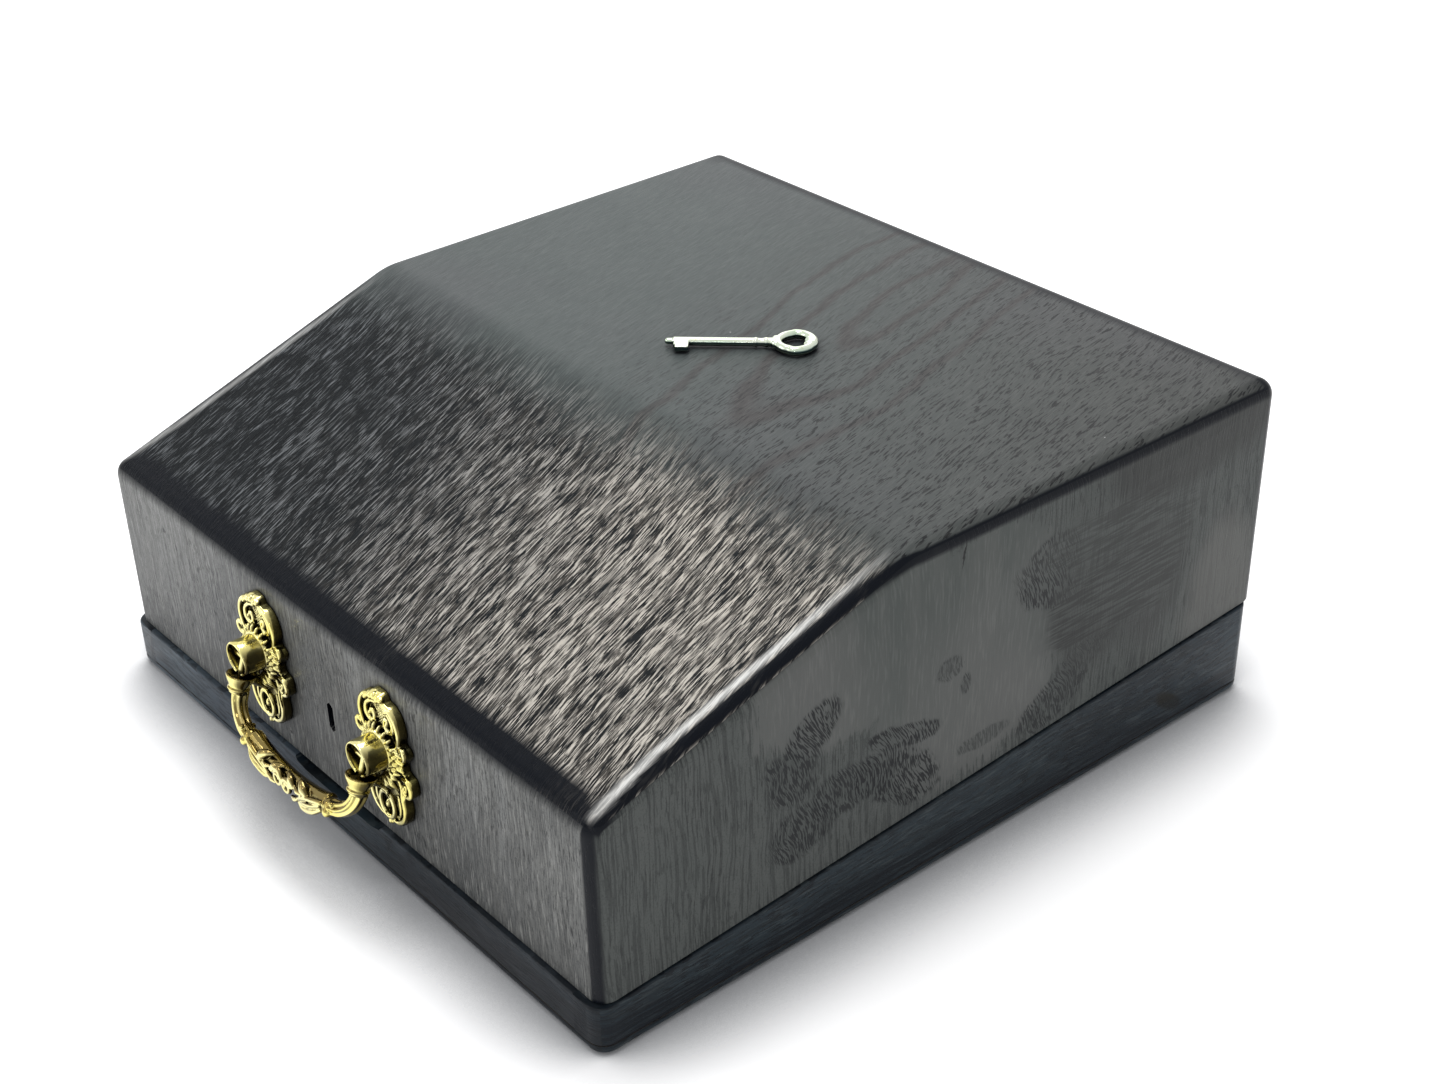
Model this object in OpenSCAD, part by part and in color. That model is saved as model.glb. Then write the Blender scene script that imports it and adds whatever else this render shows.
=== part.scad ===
// Wooden lock box: a hood with a sloped front, hinged at the rear of a low wedge-shaped base.
// X is left to right, -Y is the front, +Z is up. The origin is the middle of the hood's
// footprint, on the surface that the box stands on.

/* [Hood] */
// Width of the hood
hood_w = 290; // [260:1:320]
// Depth of the hood, front face to rear face
hood_d = 296; // [270:1:320]
// Height of the edge between front wall and slope
front_h = 87; // [82:1:100]
// Height of the edge between slope and top
break_h = 127; // [120:1:140]
// Height of the rear top edge
rear_h = 124; // [116:1:134]
// Depth of the top, from the break to the rear face
top_d = 171; // [150:1:190]
// Thickness of the sides, slope, top and rear
board_t = 12; // [10:0.5:14]
// Thickness of the front wall and of the base's front rail
front_t = 15; // [14:0.5:18]
// Radius of the hood's outer edges
edge_r = 6; // [3:0.5:9]
// Radius of the bend between slope and top
bend_r = 30; // [10:1:40]

/* [Base] */
// Height of the seam at the front face
seam_front = 19; // [17:0.5:22]
// Height of the seam at the rear face
seam_rear = 37; // [32:0.5:42]
// Gap between hood and base
seam_gap = 0.6; // [0.4:0.1:1]
// How far the base stands out at each side
side_proud = 1; // [0.5:0.1:2]
// How far the base stands out at the front
front_proud = 2; // [0.5:0.1:3]
// How far the hood overhangs the base at the rear
rear_inset = 2.5; // [1:0.1:4]
// Thickness of the bottom board
bottom_t = 4; // [3:0.5:5]
// Radius of the bottom board's lower edge
bottom_r = 3; // [1:0.5:3]
// Width of the thumb notch
notch_w = 52; // [40:1:60]
// Height of the thumb notch
notch_h = 2.6; // [1.5:0.1:3]
// Depth of the thumb notch
notch_d = 5; // [3:0.5:6]

/* [Handle] */
// Distance between the two posts
post_centres = 76; // [70:1:84]
// Height of the posts' axes
post_z = 59; // [57:0.5:61]
// Height of a back plate's middle
plate_z = 54.5; // [53:0.5:56]
// Thickness of a back plate's rim
plate_t = 3.4; // [3:0.1:4]
// Outer radius of a post's barrel
barrel_r = 6.5; // [6.3:0.1:6.8]
// Inner radius of a post's barrel
barrel_bore = 5.5; // [5.3:0.1:5.6]
// How far a post's open end stands out of the front wall
barrel_out = 13.2; // [13:0.1:15]
// Distance from a post's open end back to the pin
pin_back = 3.5; // [3:0.1:4]
// Angle at which the bail leans out at rest
bail_lean = 20; // [18:1:24]
// Distance from the pin down to the middle of the bail's bar
bail_drop = 27.5; // [26:0.5:30]
// Half of the straight reach of the bail's bar
bar_half = 24; // [20:0.5:26]
// Radius of the bail's arm
arm_r = 2.3; // [2:0.1:2.6]
// Radius of the bail's bar in the middle
bar_r = 3.6; // [3:0.1:4]

/* [Lock] */
// Height of the keyhole's middle
keyhole_z = 49; // [47:0.5:51]
// Width of the keyhole
keyhole_w = 3.6; // [3.5:0.1:3.9]
// Height of the keyhole
keyhole_h = 12; // [11:0.5:13]
// Width of the lock's case
case_w = 62; // [60:1:66]
// Height of the lock's case
case_h = 50; // [49:0.5:51]
// Depth of the lock's case
case_d = 9.5; // [9.5:0.1:10.5]
// Wall thickness of the lock's case and cap
case_t = 1.2; // [1:0.1:1.5]
// Travel of the lock's bolt
bolt_throw = 5.5; // [5:0.1:6]

/* [Hinges] */
// Distance from the middle to each hinge
hinge_x = 85; // [70:1:100]
// Length of a hinge
hinge_l = 38; // [30:1:50]
// Thickness of a hinge's leaf
leaf_t = 1.2; // [1:0.1:1.5]
// Radius of a hinge's knuckle
knuckle_r = 2.6; // [2.4:0.1:3]
// Radius of a hinge's pin
hinge_pin_r = 1.2; // [1:0.1:1.4]

/* [Key] */
// Length of the key
key_l = 54; // [48:1:60]
// Radius of the key's stem
stem_r = 1.6; // [1.4:0.1:1.7]
// Radius of the middle line of the key's bow
bow_r = 6.3; // [5.5:0.1:7]
// Radius of the rod that the bow is made of
bow_rod = 1.75; // [1.5:0.05:1.9]
// Place of the key's tip on the top, left to right
key_x = -14; // [-60:1:20]
// Place of the key's tip on the top, front to rear
key_y = 11; // [0:1:60]
// Direction of the key on the top, from the tip to the bow
key_turn = 46; // [30:1:60]

/* [Hidden] */

$fn = 64;
wood = "#2b2c2e";
brass = "#d8bf5a";
steel = "#9a9c9a";

front_y = -hood_d / 2;
rear_y = hood_d / 2;
break_y = rear_y - top_d;
half_w = hood_w / 2;
inner_half = half_w - board_t;
inner_front = front_y + front_t;
inner_rear = rear_y - board_t;
base_front = front_y - front_proud;
base_rear = rear_y - rear_inset;
base_half = half_w + side_proud;
seam_angle = atan((seam_rear - seam_front) / hood_d);
top_angle = atan((rear_h - break_h) / top_d);
slope_angle = atan((break_h - front_h) / (break_y - front_y));

key_axis_z = keyhole_z + keyhole_h / 2 - keyhole_w / 2;

// Height of the seam's lower face at a place along Y
function seam_z(y) = seam_front + (seam_rear - seam_front) * (y - front_y) / hood_d;
// Height of the hood's outer surface above the slope or the top
function slope_z(y) = front_h + (y - front_y) * tan(slope_angle);
function top_z(y) = break_h + (y - break_y) * tan(top_angle);

// Unit vector along v, and the points of a round corner of radius r at b, from a's side to c's
arc_step = 7.5;
function unit(v) = v / norm(v);
function corner(a, b, c, r) = let (
    u = unit(a - b), v = unit(c - b),
    half = acos(u * v) / 2,
    centre = b + unit(u + v) * r / sin(half),
    from = b + u * r / tan(half) - centre,
    turn = (u[0] * v[1] - u[1] * v[0] > 0 ? -1 : 1) * (180 - 2 * half),
    count = max(2, ceil(abs(turn) / arc_step)))
    r == 0 ? [b] : [for (i = [0 : count]) let (k = turn * i / count)
        centre + [from[0] * cos(k) - from[1] * sin(k), from[0] * sin(k) + from[1] * cos(k)]];

// A convex outline whose corners are round: the points go round in step with their radii
module round_polygon(points, radii) {
    n = len(points);
    polygon([for (i = [0 : n - 1], p = corner(points[(i + n - 1) % n], points[i], points[(i + 1) % n],
        radii[i])) p]);
}

// Extrudes an outline drawn in Y and Z from x0 to x1
module along_x(x0, x1) {
    translate([x0, 0, 0]) rotate([90, 0, 90]) linear_extrude(x1 - x0) children();
}

// Places a part drawn on the seam, with its origin on the hinge line's foot at the rear face
module on_seam(x) {
    translate([x, rear_y, seam_rear]) rotate([seam_angle, 0, 0]) children();
}

// ---- hood ----
hood_bottom_front = [front_y, seam_z(front_y) + seam_gap];
hood_bottom_rear = [rear_y, seam_z(rear_y) + seam_gap];
outer = [hood_bottom_front, [front_y, front_h], [break_y, break_h], [rear_y, rear_h], hood_bottom_rear];
slope_drop = board_t / cos(slope_angle);
top_drop = board_t / cos(top_angle);
inner_break_y = break_y + (slope_drop - top_drop) / (tan(slope_angle) - tan(top_angle));
inner = [[inner_front, seam_z(inner_front) + seam_gap],
    [inner_front, slope_z(inner_front) - slope_drop],
    [inner_break_y, top_z(inner_break_y) - top_drop],
    [inner_rear, top_z(inner_rear) - top_drop],
    [inner_rear, seam_z(inner_rear) + seam_gap]];

module hood_outline() {
    round_polygon(outer, [0, edge_r, bend_r, edge_r, 0]);
}

// One board between the side panels: the hood's outline between corners i and i + 1
module hood_board(i) {
    along_x(-inner_half, inner_half) intersection() {
        hood_outline();
        polygon([outer[i], outer[i + 1], inner[i + 1], inner[i]]);
    }
}

// What is taken off the edge from point a to point b to make it round
module edge_cut(a, b) {
    reach = 6;
    angle = atan2(b[1] - a[1], b[0] - a[0]);
    translate([half_w, a[0], a[1]]) rotate([angle, 0, 0]) translate([-edge_r, -reach, -edge_r])
        rotate([-90, 0, 0]) mirror([0, 1, 0]) linear_extrude(norm(b - a) + 2 * reach) difference() {
            square(edge_r + 2);
            circle(edge_r, $fn = 96);
        }
}

module plan_outline(half, y0, y1, r) {
    round_polygon([[-half, y0], [half, y0], [half, y1], [-half, y1]], [r, r, r, r]);
}

// The right side panel; the left one is its mirror image
module side_panel() {
    difference() {
        intersection() {
            along_x(inner_half, half_w) hood_outline();
            linear_extrude(break_h + 10) plan_outline(half_w, front_y, rear_y, edge_r);
        }
        edge_cut(outer[1], outer[2]);
        edge_cut(outer[2], outer[3]);
    }
}

module keyhole_cut(y0, y1) {
    translate([0, y0, key_axis_z]) rotate([-90, 0, 0]) cylinder(r = keyhole_w / 2, h = y1 - y0);
    translate([-keyhole_w / 2, y0, keyhole_z - keyhole_h / 2])
        cube([keyhole_w, y1 - y0, keyhole_h - keyhole_w / 2]);
}

stud_r = 2;
stud_bore_r = 2.1;
stud_behind = 6;

module hood_front() {
    color(wood) difference() {
        hood_board(0);
        keyhole_cut(front_y - 1, inner_front + 1);
        translate([-case_w / 2, inner_front - case_d, 0]) cube([case_w, case_d + 1, case_top]);
        for (side = [-1, 1]) translate([side * post_centres / 2, front_y - 1, post_z])
            rotate([-90, 0, 0]) cylinder(r = stud_bore_r, h = front_t + 2);
    }
}
module hood_slope() { color(wood) hood_board(1); }
module hood_top() { color(wood) hood_board(2); }
module hood_rear() {
    color(wood) difference() {
        hood_board(3);
        for (side = [-1, 1]) on_seam(side * hinge_x) leaf_mortise(seam_gap - mortise_spare);
    }
}
module hood_right() { color(wood) side_panel(); }
module hood_left() { color(wood) mirror([1, 0, 0]) side_panel(); }

// ---- base ----
module base_prism(y0, y1) {
    polygon([[y0, bottom_t], [y1, bottom_t], [y1, seam_z(y1)], [y0, seam_z(y0)]]);
}
module base_front_rail() {
    color(wood) difference() {
        along_x(-inner_half, inner_half) base_prism(base_front, inner_front);
        translate([-notch_w / 2, base_front - 1, seam_z(base_front) - notch_h])
            cube([notch_w, notch_d + 1, 2 * notch_h]);
        link_plate_seat();
    }
}
module base_rear_rail() {
    color(wood) difference() {
        along_x(-inner_half, inner_half) base_prism(inner_rear, base_rear);
        for (side = [-1, 1]) on_seam(side * hinge_x) leaf_mortise(-leaf_t);
    }
}
module side_rail() {
    intersection() {
        along_x(inner_half, base_half) base_prism(base_front, base_rear);
        linear_extrude(seam_rear + 5) plan_outline(base_half, base_front, base_rear, edge_r);
    }
}
module base_right_rail() { color(wood) side_rail(); }
module base_left_rail() { color(wood) mirror([1, 0, 0]) side_rail(); }

module bottom_board() {
    color(wood) intersection() {
        linear_extrude(bottom_t) plan_outline(base_half, base_front, base_rear, edge_r);
        along_x(-base_half, base_half) round_polygon([[base_front, 0], [base_rear, 0],
            [base_rear, bottom_t], [base_front, bottom_t]], [bottom_r, bottom_r, 0, 0]);
        translate([0, base_rear, 0]) rotate([90, 0, 0]) linear_extrude(base_rear - base_front)
            round_polygon([[-base_half, 0], [base_half, 0], [base_half, bottom_t],
                [-base_half, bottom_t]], [bottom_r, bottom_r, 0, 0]);
    }
}

// ---- hinges ----
// Drawn on the seam: Y runs to the rear, Z is square to the seam, the pin lies at Y = pin_out.
pin_out = knuckle_r + 0.4;
leaf_reach = 9.5;
knuckle_gap = 0.15;
knuckle_l = (hinge_l - 2 * knuckle_gap) / 3;
running = 0.05;
screw_x = hinge_l / 2 - 6;
hinge_screw_y = -board_t / 2 - 0.5;

mortise_spare = 1;
module leaf_mortise(z0) {
    translate([-hinge_l / 2, -leaf_reach, z0]) cube([hinge_l, leaf_reach + 5, leaf_t + mortise_spare]);
}
module leaf_plate(z0, y_end) {
    translate([-hinge_l / 2, -leaf_reach, z0]) cube([hinge_l, leaf_reach + y_end, leaf_t]);
}
module knuckle(x0, l) {
    translate([x0, pin_out, seam_gap / 2]) rotate([0, 90, 0]) cylinder(r = knuckle_r, h = l);
}
module knuckle_room(x0, l) {
    translate([x0, pin_out, seam_gap / 2]) rotate([0, 90, 0]) cylinder(r = knuckle_r + 0.35, h = l);
}
module pin_bore() {
    translate([-hinge_l, pin_out, seam_gap / 2]) rotate([0, 90, 0])
        cylinder(r = hinge_pin_r + running, h = 2 * hinge_l);
}
// A countersunk wood screw: its head is flush with the plane of the origin, pointing along Z
module wood_screw_shape() {
    rotate_extrude() polygon([[0, 0], [2, 0], [1.1, 0.9], [0.9, 1.2], [0.9, 7], [0, 9]]);
}
module base_leaf(x) {
    color(brass) on_seam(x) difference() {
        union() {
            difference() {
                leaf_plate(-leaf_t, pin_out);
                knuckle_room(-hinge_l / 2 + knuckle_l, hinge_l - 2 * knuckle_l);
            }
            knuckle(-hinge_l / 2, knuckle_l);
            knuckle(hinge_l / 2 - knuckle_l, knuckle_l);
        }
        pin_bore();
        for (side = [-1, 1]) translate([side * screw_x, hinge_screw_y, 0]) mirror([0, 0, 1])
            wood_screw_shape();
    }
}
module hood_leaf(x) {
    outer_l = knuckle_l + knuckle_gap;
    color(brass) on_seam(x) difference() {
        union() {
            difference() {
                leaf_plate(seam_gap, pin_out);
                knuckle_room(-hinge_l / 2 - 1, outer_l + 1);
                knuckle_room(hinge_l / 2 - outer_l, outer_l + 1);
            }
            knuckle(-knuckle_l / 2, knuckle_l);
        }
        pin_bore();
        for (side = [-1, 1]) translate([side * screw_x, hinge_screw_y, seam_gap]) wood_screw_shape();
    }
}
module hinge_pin(x) {
    head_l = 0.8;
    color(brass) on_seam(x) translate([-hinge_l / 2 - head_l, pin_out, seam_gap / 2]) rotate([0, 90, 0]) {
        cylinder(r = hinge_pin_r, h = hinge_l + 2 * head_l);
        cylinder(r = hinge_pin_r + 0.6, h = head_l);
        translate([0, 0, hinge_l + head_l]) cylinder(r = hinge_pin_r + 0.6, h = head_l);
    }
}
module hinge_base_leaf_left() { base_leaf(-hinge_x); }
module hinge_base_leaf_right() { base_leaf(hinge_x); }
module hinge_hood_leaf_left() { hood_leaf(-hinge_x); }
module hinge_hood_leaf_right() { hood_leaf(hinge_x); }
module hinge_pin_left() { hinge_pin(-hinge_x); }
module hinge_pin_right() { hinge_pin(hinge_x); }
module hinge_base_screws() {
    color(brass) for (x = [-hinge_x, hinge_x], side = [-1, 1]) on_seam(x)
        translate([side * screw_x, hinge_screw_y, 0]) mirror([0, 0, 1]) wood_screw_shape();
}
module hinge_hood_screws() {
    color(brass) for (x = [-hinge_x, hinge_x], side = [-1, 1]) on_seam(x)
        translate([side * screw_x, hinge_screw_y, seam_gap]) wood_screw_shape();
}

// ---- lock ----
case_bottom = seam_z(inner_front) + seam_gap + 0.2;
case_top = case_bottom + case_h;
case_front = inner_front - case_d;
bolt_t = 2.6;
bolt_mid_y = inner_front - 4.2;
bolt_bottom = key_axis_z + 4.3;
bolt_top = bolt_bottom + 9;
bolt_left = -27;
bolt_right = 19;
staple_t = 2;
staple_w = 6.4;
staple_top = case_bottom + 10.5;
staple_x = [-16, 20];
staple_room = 1;
window_w = 3.4;
window_h = 5;
window_z = case_bottom + 4;
tongue_gap = 0.8;
tongue_l = 6;
leg_w = 3.4;
guide_x = [-17, 11];
guide_z = bolt_bottom + 4.6;
guide_r = 1.1;
slide_gap = 0.1;
talon_x = -6.2;
talon_w = 5.6;
talon_h = 2.2;

// Extrudes an outline drawn in X and Z towards the rear, from y over a thickness t
module along_y(y, t) {
    translate([0, y + t, 0]) rotate([90, 0, 0]) linear_extrude(t) children();
}

module lock_case() {
    color(steel) difference() {
        union() {
            difference() {
                translate([-case_w / 2, case_front, case_bottom]) cube([case_w, case_d, case_h]);
                translate([-case_w / 2 + case_t, case_front + case_t, case_bottom + case_t])
                    cube([case_w - 2 * case_t, case_d, case_h - 2 * case_t]);
            }
            for (x = guide_x) translate([x, case_front, guide_z]) rotate([-90, 0, 0])
                cylinder(r = guide_r, h = case_d);
        }
        keyhole_cut(case_front - 1, case_front + case_t + 1);
        for (x = staple_x)
            translate([x - staple_t / 2 - staple_room, bolt_mid_y - staple_w / 2 - staple_room,
                case_bottom - 1]) cube([staple_t + 2 * staple_room, staple_w + 2 * staple_room, case_t + 2]);
    }
}
cap_over = 6;
cap_screw_x = 22;
cap_ear_z = case_bottom + 5;
cap_ear_h = 10;
cap_screws = [[-case_w / 2 - cap_over / 2, cap_ear_z + cap_ear_h / 2],
    [case_w / 2 + cap_over / 2, cap_ear_z + cap_ear_h / 2],
    [-cap_screw_x, case_top + cap_over / 2], [cap_screw_x, case_top + cap_over / 2]];
module at_cap_screws() {
    for (p = cap_screws) translate([p[0], inner_front + case_t, p[1]]) rotate([90, 0, 0]) children();
}
module lock_cap() {
    color(steel) difference() {
        union() {
            translate([-case_w / 2, inner_front, case_bottom]) cube([case_w, case_t, case_h + cap_over]);
            translate([-case_w / 2 - cap_over, inner_front, cap_ear_z])
                cube([case_w + 2 * cap_over, case_t, cap_ear_h]);
        }
        translate([0, inner_front - 1, key_axis_z]) rotate([-90, 0, 0])
            cylinder(r = stem_r + 0.15, h = case_t + 2);
        at_cap_screws() wood_screw_shape();
    }
}
module lock_cap_screws() { color(steel) at_cap_screws() wood_screw_shape(); }

// A bent strip from the case's top down to the bolt's upper edge
module lock_spring() {
    root_z = case_top - case_t;
    color(steel) along_y(bolt_mid_y - bolt_t / 2, bolt_t)
        polygon([[-27, root_z], [-12, bolt_top + 0.15], [-10, bolt_top + 0.4], [-10, bolt_top + 0.9],
            [-12, bolt_top + 0.7], [-25.4, root_z]]);
}

module lock_bolt() {
    slot_h = 2 * (guide_r + slide_gap);
    color(brass) along_y(bolt_mid_y - bolt_t / 2, bolt_t) difference() {
        union() {
            translate([bolt_left, bolt_bottom]) square([bolt_right - bolt_left, bolt_top - bolt_bottom]);
            for (x = staple_x) {
                end = x - staple_t / 2 - tongue_gap;
                translate([end - tongue_l, window_z + 0.5]) square([tongue_l, window_h - 1]);
                translate([end - tongue_l - leg_w + 0.4, window_z + 0.5])
                    square([leg_w, bolt_bottom - window_z]);
            }
        }
        translate([talon_x, bolt_bottom - 1]) square([talon_w, talon_h + 1]);
        for (x = guide_x) translate([x - bolt_throw - guide_r - 0.2, guide_z - slot_h / 2])
            square([bolt_throw + 2 * guide_r + 0.4, slot_h]);
    }
}

// ---- link plate ----
link_half = 32;
link_w = 8.6;
link_t = 1.4;
link_screws = [-28, 28];
module on_front_seam() {
    translate([0, bolt_mid_y, seam_z(bolt_mid_y)]) rotate([seam_angle, 0, 0]) children();
}
module link_plate_seat() {
    on_front_seam() translate([-link_half, -link_w / 2, -link_t]) cube([2 * link_half, link_w, link_t + 5]);
}
module link_plate() {
    foot_z = seam_z(bolt_mid_y) - link_t / 2;
    color(brass) {
        on_front_seam() difference() {
            translate([-link_half, -link_w / 2, -link_t]) cube([2 * link_half, link_w, link_t]);
            for (x = link_screws) translate([x, 0, 0]) mirror([0, 0, 1]) wood_screw_shape();
        }
        for (x = staple_x) difference() {
            translate([x - staple_t / 2, bolt_mid_y - staple_w / 2, foot_z])
                cube([staple_t, staple_w, staple_top - foot_z]);
            translate([x - staple_t, bolt_mid_y - window_w / 2, window_z])
                cube([2 * staple_t, window_w, window_h]);
        }
    }
}
module link_plate_screws() {
    color(brass) on_front_seam() for (x = link_screws) translate([x, 0, 0]) mirror([0, 0, 1])
        wood_screw_shape();
}

// ---- handle ----
// Half of a back plate's outline, from the crest down to the tip: across, up from the middle
plate_half = [[3.5, 26.3], [4.6, 24], [8, 23], [11, 19.5], [12, 14.5], [11.4, 9.6], [14.6, 8.2], [14.4, 5.2],
    [11.6, 3.2], [11.4, -0.6], [15.2, -1.4], [16, -4.6], [15.2, -7.6], [11.8, -8.6], [10.4, -12], [11, -16],
    [9.6, -21], [5.6, -24.4], [2.2, -25], [0.8, -26.5]];
module handle_plate(x) {
    count = len(plate_half);
    outline = [for (i = [0 : 2 * count - 1]) i < count ? plate_half[i] :
        [-plate_half[2 * count - 1 - i][0], plate_half[2 * count - 1 - i][1]]];
    color(brass) translate([x, front_y, plate_z]) rotate([90, 0, 0]) difference() {
        union() {
            linear_extrude(plate_t) polygon(outline);
            translate([0, post_z - plate_z, 0]) cylinder(r1 = 10.5, r2 = 8.5, h = plate_t + 0.8);
        }
        translate([0, post_z - plate_z, -1]) cylinder(r = stud_bore_r, h = plate_t + 3);
    }
}
pin_y = front_y - barrel_out + pin_back;
barrel_foot = plate_t + 0.8;
neck_room = 2.4;
cross_pin_r = 1;
module handle_post(x) {
    color(brass) translate([x, front_y, post_z]) rotate([90, 0, 0]) difference() {
        union() {
            translate([0, 0, barrel_foot]) cylinder(r = barrel_r, h = barrel_out - barrel_foot);
            translate([0, 0, -front_t - stud_behind])
                cylinder(r = stud_r, h = front_t + stud_behind + barrel_foot + 1);
        }
        translate([0, 0, barrel_foot + 2]) cylinder(r = barrel_bore, h = barrel_out);
        translate([-neck_room, -barrel_r - 1, barrel_out - pin_back - neck_room])
            cube([2 * neck_room, barrel_r + 1, 20]);
        translate([-10, 0, barrel_out - pin_back]) rotate([0, 90, 0]) cylinder(r = cross_pin_r, h = 20);
    }
}
module handle_plate_left() { handle_plate(-post_centres / 2); }
module handle_plate_right() { handle_plate(post_centres / 2); }
module handle_post_left() { handle_post(-post_centres / 2); }
module handle_post_right() { handle_post(post_centres / 2); }
cross_pin_half = 6.2;
module bail_pins() {
    color(brass) for (side = [-1, 1]) translate([side * post_centres / 2 - cross_pin_half, pin_y, post_z])
        rotate([0, 90, 0]) cylinder(r = cross_pin_r, h = 2 * cross_pin_half);
}
washer_t = 0.9;
washer_r = 4.6;
nut_t = 3.2;
nut_r = 4;
module handle_washers() {
    color(steel) for (side = [-1, 1]) translate([side * post_centres / 2, inner_front, post_z])
        rotate([-90, 0, 0]) difference() {
            cylinder(r = washer_r, h = washer_t);
            translate([0, 0, -1]) cylinder(r = stud_bore_r, h = washer_t + 2);
        }
}
module handle_nuts() {
    color(steel) for (side = [-1, 1]) translate([side * post_centres / 2, inner_front + washer_t, post_z])
        rotate([-90, 0, 0]) difference() {
            cylinder(r = nut_r, h = nut_t, $fn = 6);
            translate([0, 0, -1]) cylinder(r = stud_r, h = nut_t + 2);
        }
}

// ---- bail ----
// Drawn in its own plane: X across, Y up, the pin's axis at the origin's height.
eye_r = 2.4;
eye_half = 4.2;
collar_top = 7.7;
collar_l = 6;
ring_sides = 12;
ring_count = 40;
arm_top = collar_top + collar_l - 0.6;
bar_sag = 3;
half_centres = post_centres / 2;
// Middle line of the arms and the bar: half a round arch on each side and a sagging bar
function bail_mid(t) =
    let (s = abs(t), side = t < 0 ? -1 : 1)
    s > 0.5 ? let (k = (s - 0.5) * 2) [side * (bar_half + (half_centres - bar_half) * sin(90 * k)),
        -bail_drop + bar_sag + (bail_drop - bar_sag - arm_top) * (1 - cos(90 * k))]
    : let (k = s * 2) [side * bar_half * k, -bail_drop + bar_sag * k * k];
function bail_radius(t) =
    let (s = abs(t))
    s > 0.58 ? arm_r + 0.5 * pow((s - 0.58) / 0.42, 2)
    : s > 0.42 ? arm_r + 1.1 * sin(180 * (0.58 - s) / 0.16)
    : arm_r + (bar_r - arm_r) * (0.55 + 0.45 * cos(360 * s / 0.21));
module bail_body() {
    step = 0.001;
    rings = [for (i = [0 : ring_count]) let (
        t = -1 + 2 * i / ring_count,
        p = bail_mid(t),
        d = unit(bail_mid(min(t + step, 1)) - bail_mid(max(t - step, -1))),
        r = bail_radius(t))
        for (j = [0 : ring_sides - 1]) let (a = 360 * j / ring_sides)
            [p[0] - d[1] * r * cos(a), p[1] + d[0] * r * cos(a), r * sin(a)]];
    sides = [for (i = [0 : ring_count - 1], j = [0 : ring_sides - 1]) let (
        a = i * ring_sides + j, b = i * ring_sides + (j + 1) % ring_sides)
        [a, a + ring_sides, b + ring_sides, b]];
    caps = [[for (j = [0 : ring_sides - 1]) j],
        [for (j = [ring_sides - 1 : -1 : 0]) ring_count * ring_sides + j]];
    polyhedron(rings, concat(sides, caps), convexity = 6);
}
module bail_end(side) {
    translate([side * half_centres, 0, 0]) difference() {
        union() {
            translate([-eye_half, 0, 0]) rotate([0, 90, 0]) cylinder(r = eye_r, h = 2 * eye_half);
            rotate([90, 0, 0]) cylinder(r = 1.9, h = collar_top + 1);
            rotate([90, 0, 0]) rotate_extrude() polygon([[0, collar_top], [5.2, collar_top],
                [5.2, collar_top + 0.8], [3.9, collar_top + 2.4], [3.1, collar_top + collar_l],
                [0, collar_top + collar_l]]);
        }
        translate([-eye_half - 1, 0, 0]) rotate([0, 90, 0])
            cylinder(r = cross_pin_r + running, h = 2 * eye_half + 2);
    }
}
module bail() {
    color(brass) translate([0, pin_y, post_z]) rotate([90 - bail_lean, 0, 0]) {
        bail_body();
        bail_end(-1);
        bail_end(1);
    }
}

// ---- key ----
key_clear = 0.2;
collar_w = 1.6;
collar_back = [3, 6.2];
bit_l = 5.5;
bit_reach = 6.2;
bit_t = 2.2;
bit_from_tip = 3.2;
module key() {
    stem_l = key_l - 2 * (bow_r + bow_rod);
    lift = bow_rod + key_clear;
    color(steel) translate([key_x, key_y, top_z(key_y)]) rotate([top_angle, 0, 0]) rotate([0, 0, key_turn])
        translate([0, 0, lift]) {
            rotate([0, 90, 0]) cylinder(r = stem_r - 0.3, h = bit_from_tip);
            translate([bit_from_tip, 0, 0]) rotate([0, 90, 0])
                cylinder(r = stem_r, h = stem_l - bit_from_tip + 1);
            translate([bit_from_tip, -bit_reach, -bit_t / 2]) cube([bit_l, bit_reach, bit_t]);
            for (k = collar_back) translate([stem_l - k, 0, 0]) rotate([0, 90, 0])
                cylinder(r = bow_rod, h = collar_w);
            translate([stem_l + bow_r + bow_rod, 0, 0]) rotate_extrude() translate([bow_r, 0])
                circle(bow_rod);
        }
}

bottom_board();
base_front_rail();
base_rear_rail();
base_left_rail();
base_right_rail();
link_plate();
link_plate_screws();
hinge_base_leaf_left();
hinge_base_leaf_right();
hinge_pin_left();
hinge_pin_right();
hinge_base_screws();
hood_front();
hood_slope();
hood_top();
hood_rear();
hood_left();
hood_right();
hinge_hood_leaf_left();
hinge_hood_leaf_right();
hinge_hood_screws();
handle_plate_left();
handle_plate_right();
handle_post_left();
handle_post_right();
bail_pins();
handle_washers();
handle_nuts();
lock_case();
lock_cap();
lock_cap_screws();
lock_spring();
bail();
lock_bolt();
key();
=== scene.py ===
# Black wooden lock box with a sloped hood, a brass drop handle and a loose key.
# Lengths below are in millimetres unless a name says otherwise; mm turns them into metres.
from math import atan, cos, pi, radians, sin, tan, tau

import bmesh
import bpy
from mathutils import Matrix, Vector


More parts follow.
